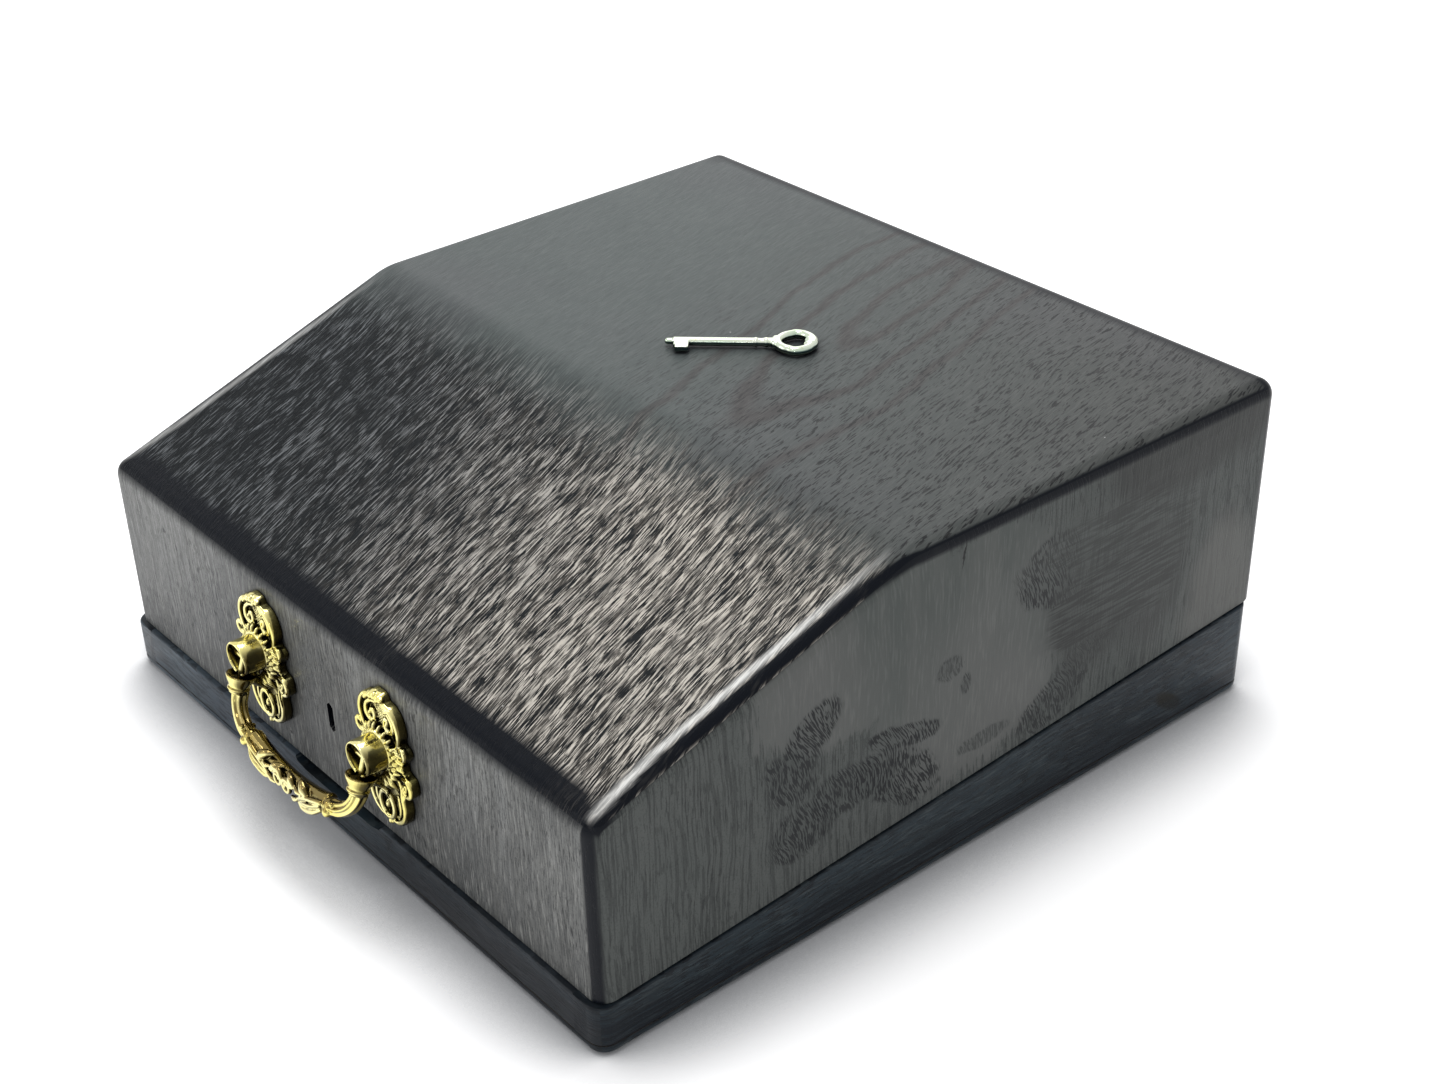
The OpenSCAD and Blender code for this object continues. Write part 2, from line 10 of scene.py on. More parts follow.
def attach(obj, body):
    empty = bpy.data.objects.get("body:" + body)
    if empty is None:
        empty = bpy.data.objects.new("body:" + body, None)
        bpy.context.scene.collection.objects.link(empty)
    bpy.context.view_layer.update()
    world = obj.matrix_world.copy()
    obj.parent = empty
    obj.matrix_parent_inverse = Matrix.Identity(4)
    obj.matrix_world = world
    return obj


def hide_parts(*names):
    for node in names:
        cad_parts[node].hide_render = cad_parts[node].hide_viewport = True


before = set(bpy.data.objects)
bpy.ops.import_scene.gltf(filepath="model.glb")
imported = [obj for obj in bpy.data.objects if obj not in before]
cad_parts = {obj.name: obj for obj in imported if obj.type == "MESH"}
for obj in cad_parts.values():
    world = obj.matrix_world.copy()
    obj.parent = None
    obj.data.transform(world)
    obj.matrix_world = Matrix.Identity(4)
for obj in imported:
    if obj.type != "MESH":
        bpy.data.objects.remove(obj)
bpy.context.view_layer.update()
mm = 0.001

print("nodes and materials")


class Signal:  # a socket's value, which takes + - * / ** and goes in as another node's input
    def __init__(self, socket):
        self.socket, self.tree = socket, socket.id_data

    def __add__(self, other):
        return calc("ADD", self, other)

    def __radd__(self, other):
        return calc("ADD", other, self)

    def __sub__(self, other):
        return calc("SUBTRACT", self, other)

    def __rsub__(self, other):
        return calc("SUBTRACT", other, self)

    def __mul__(self, other):
        return calc("MULTIPLY", self, other)

    def __truediv__(self, other):
        return calc("DIVIDE", self, other)

    def __pow__(self, other):
        return calc("POWER", self, other)

    def __abs__(self):
        return calc("ABSOLUTE", self)


def setInput(socket, value):
    if isinstance(value, Signal):
        socket.id_data.links.new(value.socket, socket)
    else:
        socket.default_value = value


def addNode(tree, kind, inputs=None, **settings):
    node = tree.nodes.new("ShaderNode" + kind)
    for key, value in settings.items():
        setattr(node, key, value)
    for key, value in (inputs or {}).items():
        setInput(node.inputs[key], value)
    return node


def made(tree, kind, inputs=None, output=0, **settings):
    return Signal(addNode(tree, kind, inputs, **settings).outputs[output])


def calc(operation, a, b=0.0, clamp=False):
    tree = (a if isinstance(a, Signal) else b).tree
    return made(tree, "Math", {0: a, 1: b}, operation=operation, use_clamp=clamp)


def split(vector):
    return [Signal(output) for output in addNode(vector.tree, "SeparateXYZ", {0: vector}).outputs]


def fade(value, low, high):  # 0 below low, 1 above high, smooth between
    return made(value.tree, "MapRange", {"Value": value, "From Min": low, "From Max": high},
                interpolation_type="SMOOTHSTEP")


def level(value, low, high):  # turns 0..1 into low..high
    return made(value.tree, "MapRange", {"Value": value, "To Min": low, "To Max": high})


def wander(value, amount):  # a noise's swing to both sides of nothing
    return (value - 0.5) * amount


def blendColour(tree, factor, a, b, how="MIX"):
    a, b = (value if isinstance(value, Signal) else (*value, 1) for value in (a, b))
    return made(tree, "Mix", {0: factor, 6: a, 7: b}, 2, data_type="RGBA", blend_type=how)


def noise(vector, scale, detail=2.0, rough=0.5):
    return made(vector.tree, "TexNoise",
                {"Vector": vector, "Scale": scale, "Detail": detail, "Roughness": rough})


def grain(side, along, fine, long, seed, detail=2.0):  # noise drawn out along the fibres
    coords = made(side.tree, "CombineXYZ", {0: side * (1000 / fine), 1: along * (1000 / long), 2: seed})
    return noise(coords, 1.0, detail, 0.55)


def hollowness(tree, reach, samples):
    return made(tree, "AmbientOcclusion", {"Distance": reach}, "AO", samples=samples)


def newMaterial(name):
    material = bpy.data.materials.new(name)
    material.use_nodes = True
    tree = material.node_tree
    tree.nodes.clear()
    shader = addNode(tree, "BsdfPrincipled")
    addNode(tree, "OutputMaterial", {"Surface": Signal(shader.outputs[0])})
    return material, tree, shader


class Coat:  # the look of one surface, painted layer on layer
    def __init__(self, name, look):
        self.material, self.tree, self.shader = newMaterial(name)
        self.look = look
        self.place = made(self.tree, "TexCoord", output="Object")

    def paint(self, factor, colour, how="MIX"):
        colour = self.look[colour] if isinstance(colour, str) else colour
        self.tone = blendColour(self.tree, factor, self.tone, colour, how)

    def painted(self, name):
        return made(self.tree, "Attribute", output="Fac", attribute_name=name)

    def edgeStainAndHighlight(self, fibres, patches):  # thick stain on the rounded edges, and a painted highlight along the ridge
        worn = calc("MULTIPLY", self.painted("rim"), level(patches, 0.8, 1.25), True)
        self.paint(worn, "edge")
        self.paint(self.painted("highlight") * level(fade(fibres, 0.35, 0.6), 0.7, 1.0), "ridgeHighlight")
        self.rough = self.rough - self.painted("rim") * 0.08

    def contactShade(self):  # painted shadow in the edge-stain colour where a fitting sits on the board
        if self.look.get("contactReach"):
            hollow = hollowness(self.tree, self.look["contactReach"] * mm, 5)
            self.paint((1.0 - fade(hollow, 0.25, 0.95)) * self.look["contactInk"], "edge")

    def finish(self, height, **fixed):
        depth = self.look["depth"] * mm
        bump = made(self.tree, "Bump", {"Height": height, "Strength": 1.0, "Distance": depth})
        inputs = {"Normal": bump, "Base Color": self.tone, "Roughness": self.rough, **fixed}
        for key, value in inputs.items():
            setInput(self.shader.inputs[key], value)
        return self.material


# Stained boards. across and along name the axes of the board: along is the way the grain runs.
def woodMaterial(name, across, along, look):
    coat = Coat(name, look)
    place, axis = coat.place, split(coat.place)
    over, run = axis[across], axis[along]
    side = over + noise(place, 14.0, 1.0) * (look["sway"] * mm)
    side = side + noise(place, 120.0, 1.0) * (look["ripple"] * mm)
    pores = fade(grain(side, run, look["poreWidth"], look["poreLength"], 3.1), look["poreFrom"],
                 look["poreFrom"] + 0.05)
    fibres = grain(side, run, look["fibreWidth"], look["fibreLength"], 11.7)
    comb = fade(grain(side, run, look["combWidth"], 24.0, 41.3, 1.0), 0.5, 0.58)
    streaks = grain(side, run, 8.0, 110.0, 27.3)
    patches = noise(place, 1000 / look["patch"], 3.0, 0.6)
    clouds = noise(place, 11.0)
    coat.tone = look["dark"]
    coat.paint(fade(clouds, 0.35, 0.68), "mid")
    coat.paint(fade(streaks, 0.38, 0.68) * 0.5, "tint")
    rise = look["rise"]  # the tone is scaled from low at one end of the board to high at the other
    thin = fade(axis[rise["axis"]], rise["from"] * mm, rise["to"] * mm)
    coat.paint(1.0, level(thin, rise["low"], rise["high"]), "MULTIPLY")
    coat.paint(fade(fibres, look["shineFrom"], look["shineFrom"] + 0.2) * look["open"], "pale")

    combed, inked = look["comb"], look["poreInk"]
    if look.get("islands"):  # smooth glazed parts; round them the grain is combed and darker
        far = 9.0
        for middleX, middleY, reachX, reachY in look["islands"]:
            dx, dy = (over - middleX * mm) / (reachX * mm), (run - middleY * mm) / (reachY * mm)
            far = calc("MINIMUM", far, abs(dx) ** 2.6 + abs(dy) ** 2.6)
        bare = fade(far + wander(fibres, 1.1) + wander(patches, 0.9), 0.85, 1.08)
        coat.paint(bare * look["shade"], "dark")
        combed, inked = (level(bare, 0.04, value) for value in (combed, inked))
    coat.paint(comb * combed, "combTone")
    inked = pores * inked
    coat.paint(inked * level(fade(patches, 0.35, 0.65), 0.4, 1.0), "pore")
    sunk = calc("MAXIMUM", inked, comb * (combed * 0.5))
    coat.rough = look["rough"] + wander(patches, 0.16)

    leaning = over + noise(place, 48.0, 1.0) * (11 * mm) + run * 0.3
    grit = noise(place, 1400.0, 2.0, 0.6)
    coat.paint(fade(grit, 0.5, 0.68) * (combed * 0.6), "pore")
    marks = {"dashes": fade(grain(leaning, run, 0.55, 4.2, 53.9, 1.0), 0.47, 0.53),
             "cross": fade(grain(run, over, 1.0, 15.0, 71.2), 0.4, 0.6),
             "lines": fade(grain(over, run, 0.8, 40.0, 17.7, 1.0), 0.46, 0.58)}
    for spot in look.get("spots", ()):  # bruises, scuffs, a knot: centre and reach along across and along
        dx = (over - spot["at"][0] * mm) / (spot["size"][0] * mm)
        dy = (run - spot["at"][1] * mm) / (spot["size"][1] * mm)
        dx = dx + dy * spot.get("lean", 0.0)
        if spot.get("wiggle"):
            dx = dx + wander(noise(place, 240.0), spot["wiggle"])
        far = (dx ** 2.0 + dy ** 2.0) ** 0.5
        mark = 1.0 - fade(far + wander(patches, spot["ragged"]), 0.5, 1.05)
        if spot.get("marks"):
            coat.paint(mark * 0.35, "dark")
            mark = fade(mark, 0.05, 0.7) * level(marks[spot["marks"]], 0.06, 1.0)
        coat.paint(mark * spot["ink"], spot["colour"])
        sunk = calc("MAXIMUM", sunk, mark * spot["sink"])
    coat.edgeStainAndHighlight(fibres, patches)
    coat.contactShade()
    height = fibres * look["fibreRise"] - sunk + patches * 0.4
    return coat.finish(height, **{"Specular IOR Level": 0.13})


# The veneer of the hood: open grain with painted glints on the slope, closed up to a smooth face on top, whose pale
# tone is painted sheen.
def veneerMaterial(name, look):
    coat = Coat(name, look)
    tree, place = coat.tree, coat.place
    x, y, _ = split(place)
    patches = noise(place, 1000 / look["patch"], 3.0, 0.6)
    clouds = noise(place, 9.0)
    behind = calc("MAXIMUM", y + look["turnFrom"] * mm, 0.0)
    side = y * look["turn"] + behind * look["turnMore"]
    side = side + noise(place, 13.0, 1.0) * (look["sway"] * mm)
    side = side + noise(place, 105.0, 1.0) * (look["ripple"] * mm) + x
    lines = grain(side, y, look["lineWidth"], look["lineLength"], 11.7)
    threads = grain(side, y, look["threadWidth"], look["threadLength"], 29.2, 1.0)
    pits = fade(grain(side, y, look["pitWidth"], look["pitLength"], 3.1), 0.53, 0.57)
    clumps = fade(grain(side, y, 14.0, 34.0, 61.5, 3.0), 0.36, 0.64)

    # painted light: the slope is painted dim on the left and lit towards the right and rear
    across = x + (y + 0.09) * 0.4 + wander(clouds, 0.12)
    lit = fade(across, look["litFrom"] * mm, look["litTo"] * mm)
    blur = y + wander(patches, 22 * mm) + wander(lines, 26 * mm)
    slope = fade(blur, look["smoothAt"] * mm, look["openAt"] * mm)
    band = fade(y + wander(patches, 9 * mm) + x * 0.025, look["bandFrom"] * mm, look["bandTo"] * mm)

    coat.tone = look["ground"]
    # the ground between the fibres is painted lighter where the slope is painted lit
    mottled = fade(grain(side, y, 2.8, 8.0, 47.1, 3.0), 0.44, 0.6)
    coat.paint(mottled * lit, "groundLit")
    coat.paint(band, "edge")
    # painted glints on the fibres: few where the slope is painted dim, about half of all fibres where it is painted
    # lit
    limit = level(lit, look["glintFrom"], look["glintTo"]) + level(clumps, 0.03, -0.025) + level(band, 0.0, 0.04)
    glint = calc("DIVIDE", lines - limit, 0.055, True)
    glint = glint * level(fade(threads, 0.34, 0.56), 0.4, 1.0)
    glint = glint * level(lit, look["glintDim"], look["glintBright"])
    coat.paint(glint, blendColour(tree, lit, look["paleCold"], look["paleWarm"]))
    coat.paint(pits * 0.8, "pit")
    openGrain = coat.tone

    # painted sheen: the top's pale grey stands in for the lamps' reflection, darker towards the right and rear, with
    # a random tint
    coat.tone = look["sheen"]
    coat.paint(fade(x + y * 0.6, look["farFrom"] * mm, look["farTo"] * mm), "sheenFar")
    coat.paint(fade(clouds, 0.45, 0.65) * 0.3, "sheenTint")
    (atX, atY), (reachX, reachY) = look["figureAt"], look["figureSize"]
    dx, dy = (side - atX * mm) / (reachX * mm), (y - atY * mm) / (reachY * mm)
    rings = (dx * dx + dy * dy) ** 0.5 + clouds * 1.6
    figure = calc("PINGPONG", rings + patches * 0.35, 0.5)
    figure = fade(figure, 0.3, 0.47) * (1.0 - fade(rings, 3.0, 4.6))
    coat.paint(figure * look["figureInk"], "figure")
    flecks = fade(grain(side, y, 0.6, 5.0, 83.4, 1.0), 0.57, 0.61)
    flecked = fade(x + clouds * 0.16, look["fleckFrom"] * mm, look["fleckTo"] * mm)
    coat.paint(flecks * level(flecked, 0.12, 0.85), "fleck")
    coat.paint(fade(lines, 0.5, 0.6) * 0.035, "pale")
    coat.tone = blendColour(tree, slope, coat.tone, openGrain)

    dust = made(tree, "TexVoronoi", {"Vector": place, "Scale": 1000 / look["dustGap"]}, "Distance")
    coat.paint(calc("LESS_THAN", dust, 0.011) * 0.75, "pale")
    coat.rough = look["rough"] + wander(patches, 0.14)
    coat.edgeStainAndHighlight(lines, patches)
    coat.contactShade()
    height = (lines + threads * 0.5 - pits) * level(slope, 0.1, 1.0)
    return coat.finish(height, **{"Specular IOR Level": 0.07})


woodLook = {
    "dark": (0.02, 0.023, 0.026), "mid": (0.034, 0.038, 0.04), "tint": (0.045, 0.043, 0.046),
    "pale": (0.6, 0.6, 0.58), "pore": (0.006, 0.007, 0.009), "edge": (0.004, 0.0055, 0.009),
    "ridgeHighlight": (0.86, 0.86, 0.84), "combTone": (0.012, 0.013, 0.014),
    "poreWidth": 0.9, "poreLength": 7.0, "poreFrom": 0.54, "poreInk": 0.6, "comb": 0.2, "combWidth": 1.3,
    "fibreWidth": 0.8, "fibreLength": 9.0, "fibreRise": 0.4, "open": 0.1, "shineFrom": 0.49,
    "patch": 26.0, "sway": 9.0, "ripple": 0.9, "rough": 0.36, "depth": 0.1,
    "rise": {"axis": 2, "from": 0, "to": 100, "low": 1.0, "high": 1.0}}
topWood = veneerMaterial("stainedTop", {
    **woodLook, "turn": 0.19, "turnMore": 0.08, "turnFrom": 23, "lineWidth": 0.5, "lineLength": 8.0,
    "threadWidth": 1.6, "threadLength": 14.0, "pitWidth": 0.5, "pitLength": 7.0, "litFrom": -108, "litTo": 98,
    "smoothAt": -20, "openAt": -54, "bandFrom": -137, "bandTo": -146, "farFrom": -60, "farTo": 230,
    "fleckFrom": 20, "fleckTo": 180, "ground": (0.0105, 0.0128, 0.0148), "groundLit": (0.08, 0.073, 0.065),
    "glintFrom": 0.53, "glintTo": 0.462, "glintDim": 0.6, "glintBright": 1.0, "paleCold": (0.24, 0.255, 0.27),
    "paleWarm": (0.6, 0.56, 0.5), "pit": (0.004, 0.005, 0.006), "sheen": (0.09, 0.105, 0.104),
    "sheenFar": (0.069, 0.073, 0.071), "sheenTint": (0.088, 0.087, 0.096), "figureAt": (50, 110),
    "figureSize": (15, 78), "figure": (0.055, 0.048, 0.048), "figureInk": 0.7, "fleck": (0.012, 0.012, 0.014),
    "dustGap": 24, "depth": 0.16, "rough": 0.38, "contactReach": 7.0, "contactInk": 0.9})
nick = {"ragged": 0.3, "colour": (0.008, 0.008, 0.01)}
frontWood = woodMaterial("stainedFront", 0, 2, {
    **woodLook, "dark": (0.115, 0.12, 0.119), "mid": (0.2, 0.205, 0.2), "tint": (0.13, 0.132, 0.125), "open": 0.35,
    "pale": (0.42, 0.42, 0.4), "comb": 0.45, "combWidth": 0.75, "combTone": (0.04, 0.042, 0.043), "poreWidth": 0.55,
    "poreLength": 5.0, "poreInk": 0.8, "poreFrom": 0.57, "contactReach": 9.0, "contactInk": 0.8,
    "rise": {"axis": 2, "from": 15, "to": 84, "low": 0.66, "high": 1.12},
    "spots": [
        {"at": (-31, 26), "size": (1.0, 0.9), "ragged": 0.0, "ink": 0.9, "colour": (0.004, 0.004, 0.005),
         "sink": 1.0},
        {**nick, "at": (-108, 74), "size": (1.2, 1.4), "ink": 0.8, "sink": 0.6},
        {**nick, "at": (-100, 70), "size": (0.8, 1.6), "ink": 0.7, "sink": 0.5}]})
scuff = {"ragged": 1.5, "colour": (0.008, 0.009, 0.011), "marks": "dashes", "sink": 0.8}
haze = {"ragged": 1.1, "colour": (0.022, 0.023, 0.023), "marks": "cross", "sink": 0.3}


def spotRows(style, rows):
    return [{**style, "at": at, "size": size, "lean": lean, "ink": ink} for at, size, lean, ink in rows]


sideLook = {
    **woodLook, "dark": (0.078, 0.088, 0.084), "mid": (0.128, 0.132, 0.128), "tint": (0.122, 0.127, 0.122),
    "comb": 0.5, "combWidth": 0.8, "combTone": (0.026, 0.029, 0.029), "poreInk": 0.45, "poreFrom": 0.56,
    "open": 0.05, "islands": [(-46, 103, 42, 32), (4, 76, 42, 44), (10, 100, 26, 22)], "shade": 0.66, "patch": 20.0,
    "depth": 0.08, "rise": {"axis": 2, "from": 25, "to": 60, "low": 0.93, "high": 1.0}}
sideWood = woodMaterial("stainedSide", 1, 2, {
    **sideLook, "spots": spotRows(scuff, [
        ((-63, 82), (13, 12), -0.7, 0.95), ((-72, 66), (15, 16), 0.3, 0.85), ((-68, 46), (16, 14), 0, 0.85),
        ((-48, 52), (24, 11), 0.4, 0.85), ((-28, 46), (20, 14), 0.6, 0.95), ((-26, 61), (13, 7), 0.9, 0.95),
        ((-5, 77), (7, 5), 0, 0.5), ((2, 68), (2.5, 5), 0, 0.6), ((10, 42), (16, 4), 0, 0.45),
        ((38, 87), (14, 9), 0.6, 0.95), ((36, 97), (18, 11), 0, 0.75), ((43, 42), (18, 11), -0.6, 0.8),
        ((56, 53), (14, 9), -0.5, 0.5)]) + [
        {"at": (76, 72), "size": (44, 32), "ragged": 1.1, "ink": 0.55, "colour": (0.03, 0.031, 0.031), "sink": 0.0}
    ] + spotRows(haze, [
        ((70, 72), (36, 19), 0, 0.8), ((80, 84), (36, 28), 0, 0.55), ((66, 98), (34, 12), 0, 0.5)]) + [
        {"at": (108, 116), "size": (62, 19), "ragged": 0.6, "ink": 0.72, "colour": (0.03, 0.031, 0.03), "sink": 0.0},
        {"at": (-1, 118), "size": (0.5, 6.5), "wiggle": 9.0, "ragged": 0.0, "ink": 0.9,
         "colour": (0.01, 0.01, 0.011), "sink": 0.8},
        {"at": (128, 50), "size": (24, 36), "ragged": 0.5, "ink": 0.55, "colour": (0.15, 0.15, 0.142),
         "sink": 0.0}]})
leftWood = woodMaterial("stainedLeft", 1, 2, {
    **sideLook, "islands": [(62, 88, 52, 34), (-8, 62, 34, 22)],
    "spots": spotRows(scuff, [((-30, 84), (18, 9), 0.6, 0.7), ((22, 48), (16, 10), -0.5, 0.8)])
    + spotRows(haze, [((-70, 58), (30, 16), 0, 0.6), ((112, 62), (24, 20), 0, 0.5)])})
baseWood = woodMaterial("stainedBase", 2, 1, {
    **woodLook, "dark": (0.008, 0.015, 0.022), "mid": (0.026, 0.04, 0.05), "poreInk": 0.8, "comb": 0.35,
    "rough": 0.33, "pale": (0.2, 0.23, 0.23), "tint": (0.03, 0.044, 0.056), "open": 0.2,
    "rise": {"axis": 1, "from": 60, "to": 150, "low": 1.0, "high": 1.7},
    "spots": [{"at": (13, 104), "size": (4.5, 9), "lean": 1.2, "ragged": 0.5, "ink": 0.95,
               "colour": (0.008, 0.007, 0.003), "sink": 0.4},
              {"at": (8, 0), "size": (5.5, 500), "ragged": 0.3, "ink": 0.75, "marks": "lines",
               "colour": (0.003, 0.005, 0.009), "sink": 0.5}]})
baseFrontWood = woodMaterial("stainedBaseFront", 2, 0, {
    **woodLook, "dark": (0.04, 0.055, 0.072), "mid": (0.075, 0.1, 0.12), "poreInk": 0.7, "comb": 0.4,
    "rough": 0.33, "pale": (0.2, 0.21, 0.23), "rise": {"axis": 0, "from": -110, "to": 60, "low": 1.5, "high": 0.4}})
innerWood = woodMaterial("innerWood", 1, 2, {
    **woodLook, "dark": (0.05, 0.043, 0.036), "mid": (0.1, 0.084, 0.068), "rough": 0.6, "tint": (0.08, 0.066, 0.052),
    "pale": (0.2, 0.17, 0.13), "open": 0.3, "combTone": (0.03, 0.025, 0.02)})


def metalMaterial(name, look):
    coat = Coat(name, look)
    broad = noise(coat.place, 55.0)
    fine = noise(coat.place, 900.0, 3.0, 0.6)
    deep = 1.0 - fade(hollowness(coat.tree, look["hollow"] * mm, 6), look["deepFrom"], look["deepTo"])
    coat.tone = look["colour"]
    coat.paint(fade(broad, 0.35, 0.65), "second")
    coat.paint(fade(fine, 0.55, 0.75) * look["speck"], "dull")
    normal = made(coat.tree, "TexCoord", output="Normal")
    sideways, back, up = split(normal)
    flank = abs(sideways) + calc("MAXIMUM", up * -0.8, 0.0) + wander(broad, 0.8)
    flank = fade(flank, 0.42, 0.95) * look["flankInk"]
    # painted reflection of the brown wood on faces turned to the rear
    coat.paint(fade(back, 0.15, 0.7) * look["flankInk"], "woodReflection")
    if look.get("band"):  # what stands round a polished rod shows as a dark band along its side
        band = fade(up, -0.3, -0.05) * (1.0 - fade(up, 0.22, 0.5))
        coat.paint(band * look["bandInk"], "band")
    # painted reflection of the wood on faces turned up
    if look.get("topInk"):
        coat.paint(fade(up, 0.25, 0.7) * look["topInk"], "woodReflection")
    coat.paint(flank, "flank")  # painted shade and dark reflection on the flanks and undersides
    # painted shade in the hollows and beside the board, with the patina that gathers there
    coat.paint(deep * look["hollowShadeAndPatina"], "deep")
    coat.rough = look["rough"] + fine * look["roughSpread"] + deep * 0.2
    return coat.finish(fine, Metallic=1.0)


brassLook = {
    "colour": (0.84, 0.74, 0.24), "second": (0.9, 0.83, 0.4), "dull": (0.45, 0.37, 0.1),
    "deep": (0.016, 0.011, 0.003), "hollow": 5.0, "deepFrom": 0.3, "deepTo": 0.82, "speck": 0.2, "hollowShadeAndPatina": 0.97,
    "rough": 0.08, "roughSpread": 0.1, "depth": 0.02, "flank": (0.05, 0.034, 0.007), "flankInk": 0.92,
    "woodReflection": (0.16, 0.085, 0.015)}
handleBrass = metalMaterial("castBrass", brassLook)
bailBrass = metalMaterial("bailBrass", {**brassLook, "topInk": 0.85, "woodReflection": (0.12, 0.07, 0.014)})
hingeBrass = metalMaterial("hingeBrass", {
    **brassLook, "colour": (0.7, 0.55, 0.24), "second": (0.62, 0.5, 0.24), "rough": 0.24, "depth": 0.015,
    "hollow": 1.2, "flankInk": 0.2})
plainBrass = metalMaterial("stampedBrass", {
    **brassLook, "colour": (0.66, 0.52, 0.25), "second": (0.58, 0.46, 0.22), "rough": 0.3, "hollow": 1.0,
    "flankInk": 0.0})
caseSteel = metalMaterial("platedSteel", {
    **brassLook, "colour": (0.5, 0.51, 0.52), "second": (0.42, 0.43, 0.45), "dull": (0.3, 0.3, 0.32),
    "deep": (0.06, 0.06, 0.06), "rough": 0.32, "hollow": 1.5, "flankInk": 0.0})
keyNickel = metalMaterial("platedKey", {
    **brassLook, "colour": (0.74, 0.78, 0.66), "second": (0.6, 0.72, 0.55), "dull": (0.55, 0.5, 0.2),
    "deep": (0.02, 0.03, 0.035), "rough": 0.1, "hollow": 2.4, "speck": 0.5, "flank": (0.05, 0.12, 0.14),
    "flankInk": 0.3, "woodReflection": (0.3, 0.22, 0.14), "band": (0.008, 0.03, 0.035), "bandInk": 0.93})

print("boards")
hoodSize = {"width": 290, "depth": 296, "front": 87, "fold": 127, "rear": 124, "topDepth": 171, "board": 12,
            "frontBoard": 15, "edge": 6, "bend": 30, "seamFront": 19, "seamRear": 37, "gap": 0.6}
sideNames = {-1: "Left", 1: "Right"}
frontY, rearY = -hoodSize["depth"] / 2, hoodSize["depth"] / 2
foldY = rearY - hoodSize["topDepth"]
halfWidth, innerHalf = hoodSize["width"] / 2, hoodSize["width"] / 2 - hoodSize["board"]
innerFront, innerRear = frontY + hoodSize["frontBoard"], rearY - hoodSize["board"]
sharpAngle = radians(40)


def seamHeight(y):
    return hoodSize["seamFront"] + (hoodSize["seamRear"] - hoodSize["seamFront"]) * (y - frontY) / hoodSize["depth"]


def crossing(a, b, c, d):  # where the line through a and b meets the line through c and d
    r, s = b - a, d - c
    return a + r * ((c - a).cross(s) / r.cross(s))


def flat(x, y):
    return Vector((x, y))


def corner(a, b, c, radius, steps):  # the bend at b, on the way from a to c
    u, v = (a - b).normalized(), (c - b).normalized()
    half = u.angle(v) / 2
    if radius <= 0 or steps == 0:
        return [b.copy() for _ in range(steps + 1)]
    centre = b + (u + v).normalized() * radius / sin(half)
    start = b + u * radius / tan(half) - centre
    turn = (pi - 2 * half) * (-1 if u.cross(v) > 0 else 1)
    return [centre + Matrix.Rotation(turn * i / steps, 2) @ start for i in range(steps + 1)]


def insetCorners(raw, depths):  # each side but the lowest moves in by its own depth
    lines = []
    for a, b, depth in zip(raw, raw[1:], depths):
        way = (b - a).normalized()
        inward = flat(way.y, -way.x) * depth
        lines.append((a + inward, b + inward))
    lines = [(raw[4], raw[0]), *lines, (raw[4], raw[0])]
    return [crossing(*first, *second) for first, second in zip(lines, lines[1:])]


def hoodCorners(inset=0.0):
    raw = [flat(frontY, seamHeight(frontY) + hoodSize["gap"]), flat(frontY, hoodSize["front"]),
           flat(foldY, hoodSize["fold"]), flat(rearY, hoodSize["rear"]),
           flat(rearY, seamHeight(rearY) + hoodSize["gap"])]
    return insetCorners(raw, [inset] * 4)


def onward(spot, aim, reach):  # from spot towards aim
    return spot + (aim - spot).normalized() * reach


roundSteps = (0, 10, 8, 10, 0)  # steps in each bend of the outline
straightSteps = (1, 1, 14, 20, 1)  # steps on the straight part before each bend


def ringPoints(inset, keep=1.5):  # the hood's outline, with a point kept near both ends of each bend
    corners = hoodCorners(inset)
    edge = max(hoodSize["edge"] - inset, 0.02)
    radii = [0, edge, hoodSize["bend"] - inset, edge, 0]
    points = []
    for i in range(5):
        a, b, c = corners[i - 1], corners[i], corners[(i + 1) % 5]
        arc = corner(a, b, c, radii[i], roundSteps[i])
        if roundSteps[i]:
            arc = [onward(arc[0], a, keep)] + arc + [onward(arc[-1], c, keep)]
        if points:
            last = points[-1]
            points += [last.lerp(arc[0], step / straightSteps[i]) for step in range(1, straightSteps[i])]
        points += arc
    return points


def linked(name, data):
    thing = bpy.data.objects.new(name, data)
    bpy.context.scene.collection.objects.link(thing)
    return thing


def objectFrom(bm, name):
    mesh = bpy.data.meshes.new(name)
    bm.to_mesh(mesh)
    bm.free()
    return linked(name, mesh)


def dress(piece, body, slotName, *nodes):
    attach(piece, body)
    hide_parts(*nodes)
    return piece


def newPiece(name, bm, materials, body, slotName, node, pick=None):
    bmesh.ops.remove_doubles(bm, verts=bm.verts, dist=0.004 * mm)
    bmesh.ops.recalc_face_normals(bm, faces=bm.faces)
    for face in bm.faces:
        face.material_index = pick(face) if pick else 0
    piece = objectFrom(bm, name)
    for material in materials:
        piece.data.materials.append(material)
    piece.data.shade_smooth()
    piece.data.set_sharp_from_angle(angle=sharpAngle)
    return dress(piece, body, slotName, node)


def bridge(bm, first, second):
    count = len(first)
    for i in range(count):
        j = (i + 1) % count
        quad = [first[i], first[j], second[j], second[i]]
        if len(set(quad)) == 4:
            bm.faces.new(quad)


def skin(bm, rows):  # joins the rows and closes both ends
    for first, second in zip(rows, rows[1:]):
        bridge(bm, first, second)
    bm.faces.new(rows[0])
    bm.faces.new(rows[-1])


def vertexRow(bm, points, rim=None, layer=None):
    row = [bm.verts.new(Vector(p) * mm) for p in points]
    if layer is not None:
        for vert, value in zip(row, rim):
            vert[layer] = value
    return row


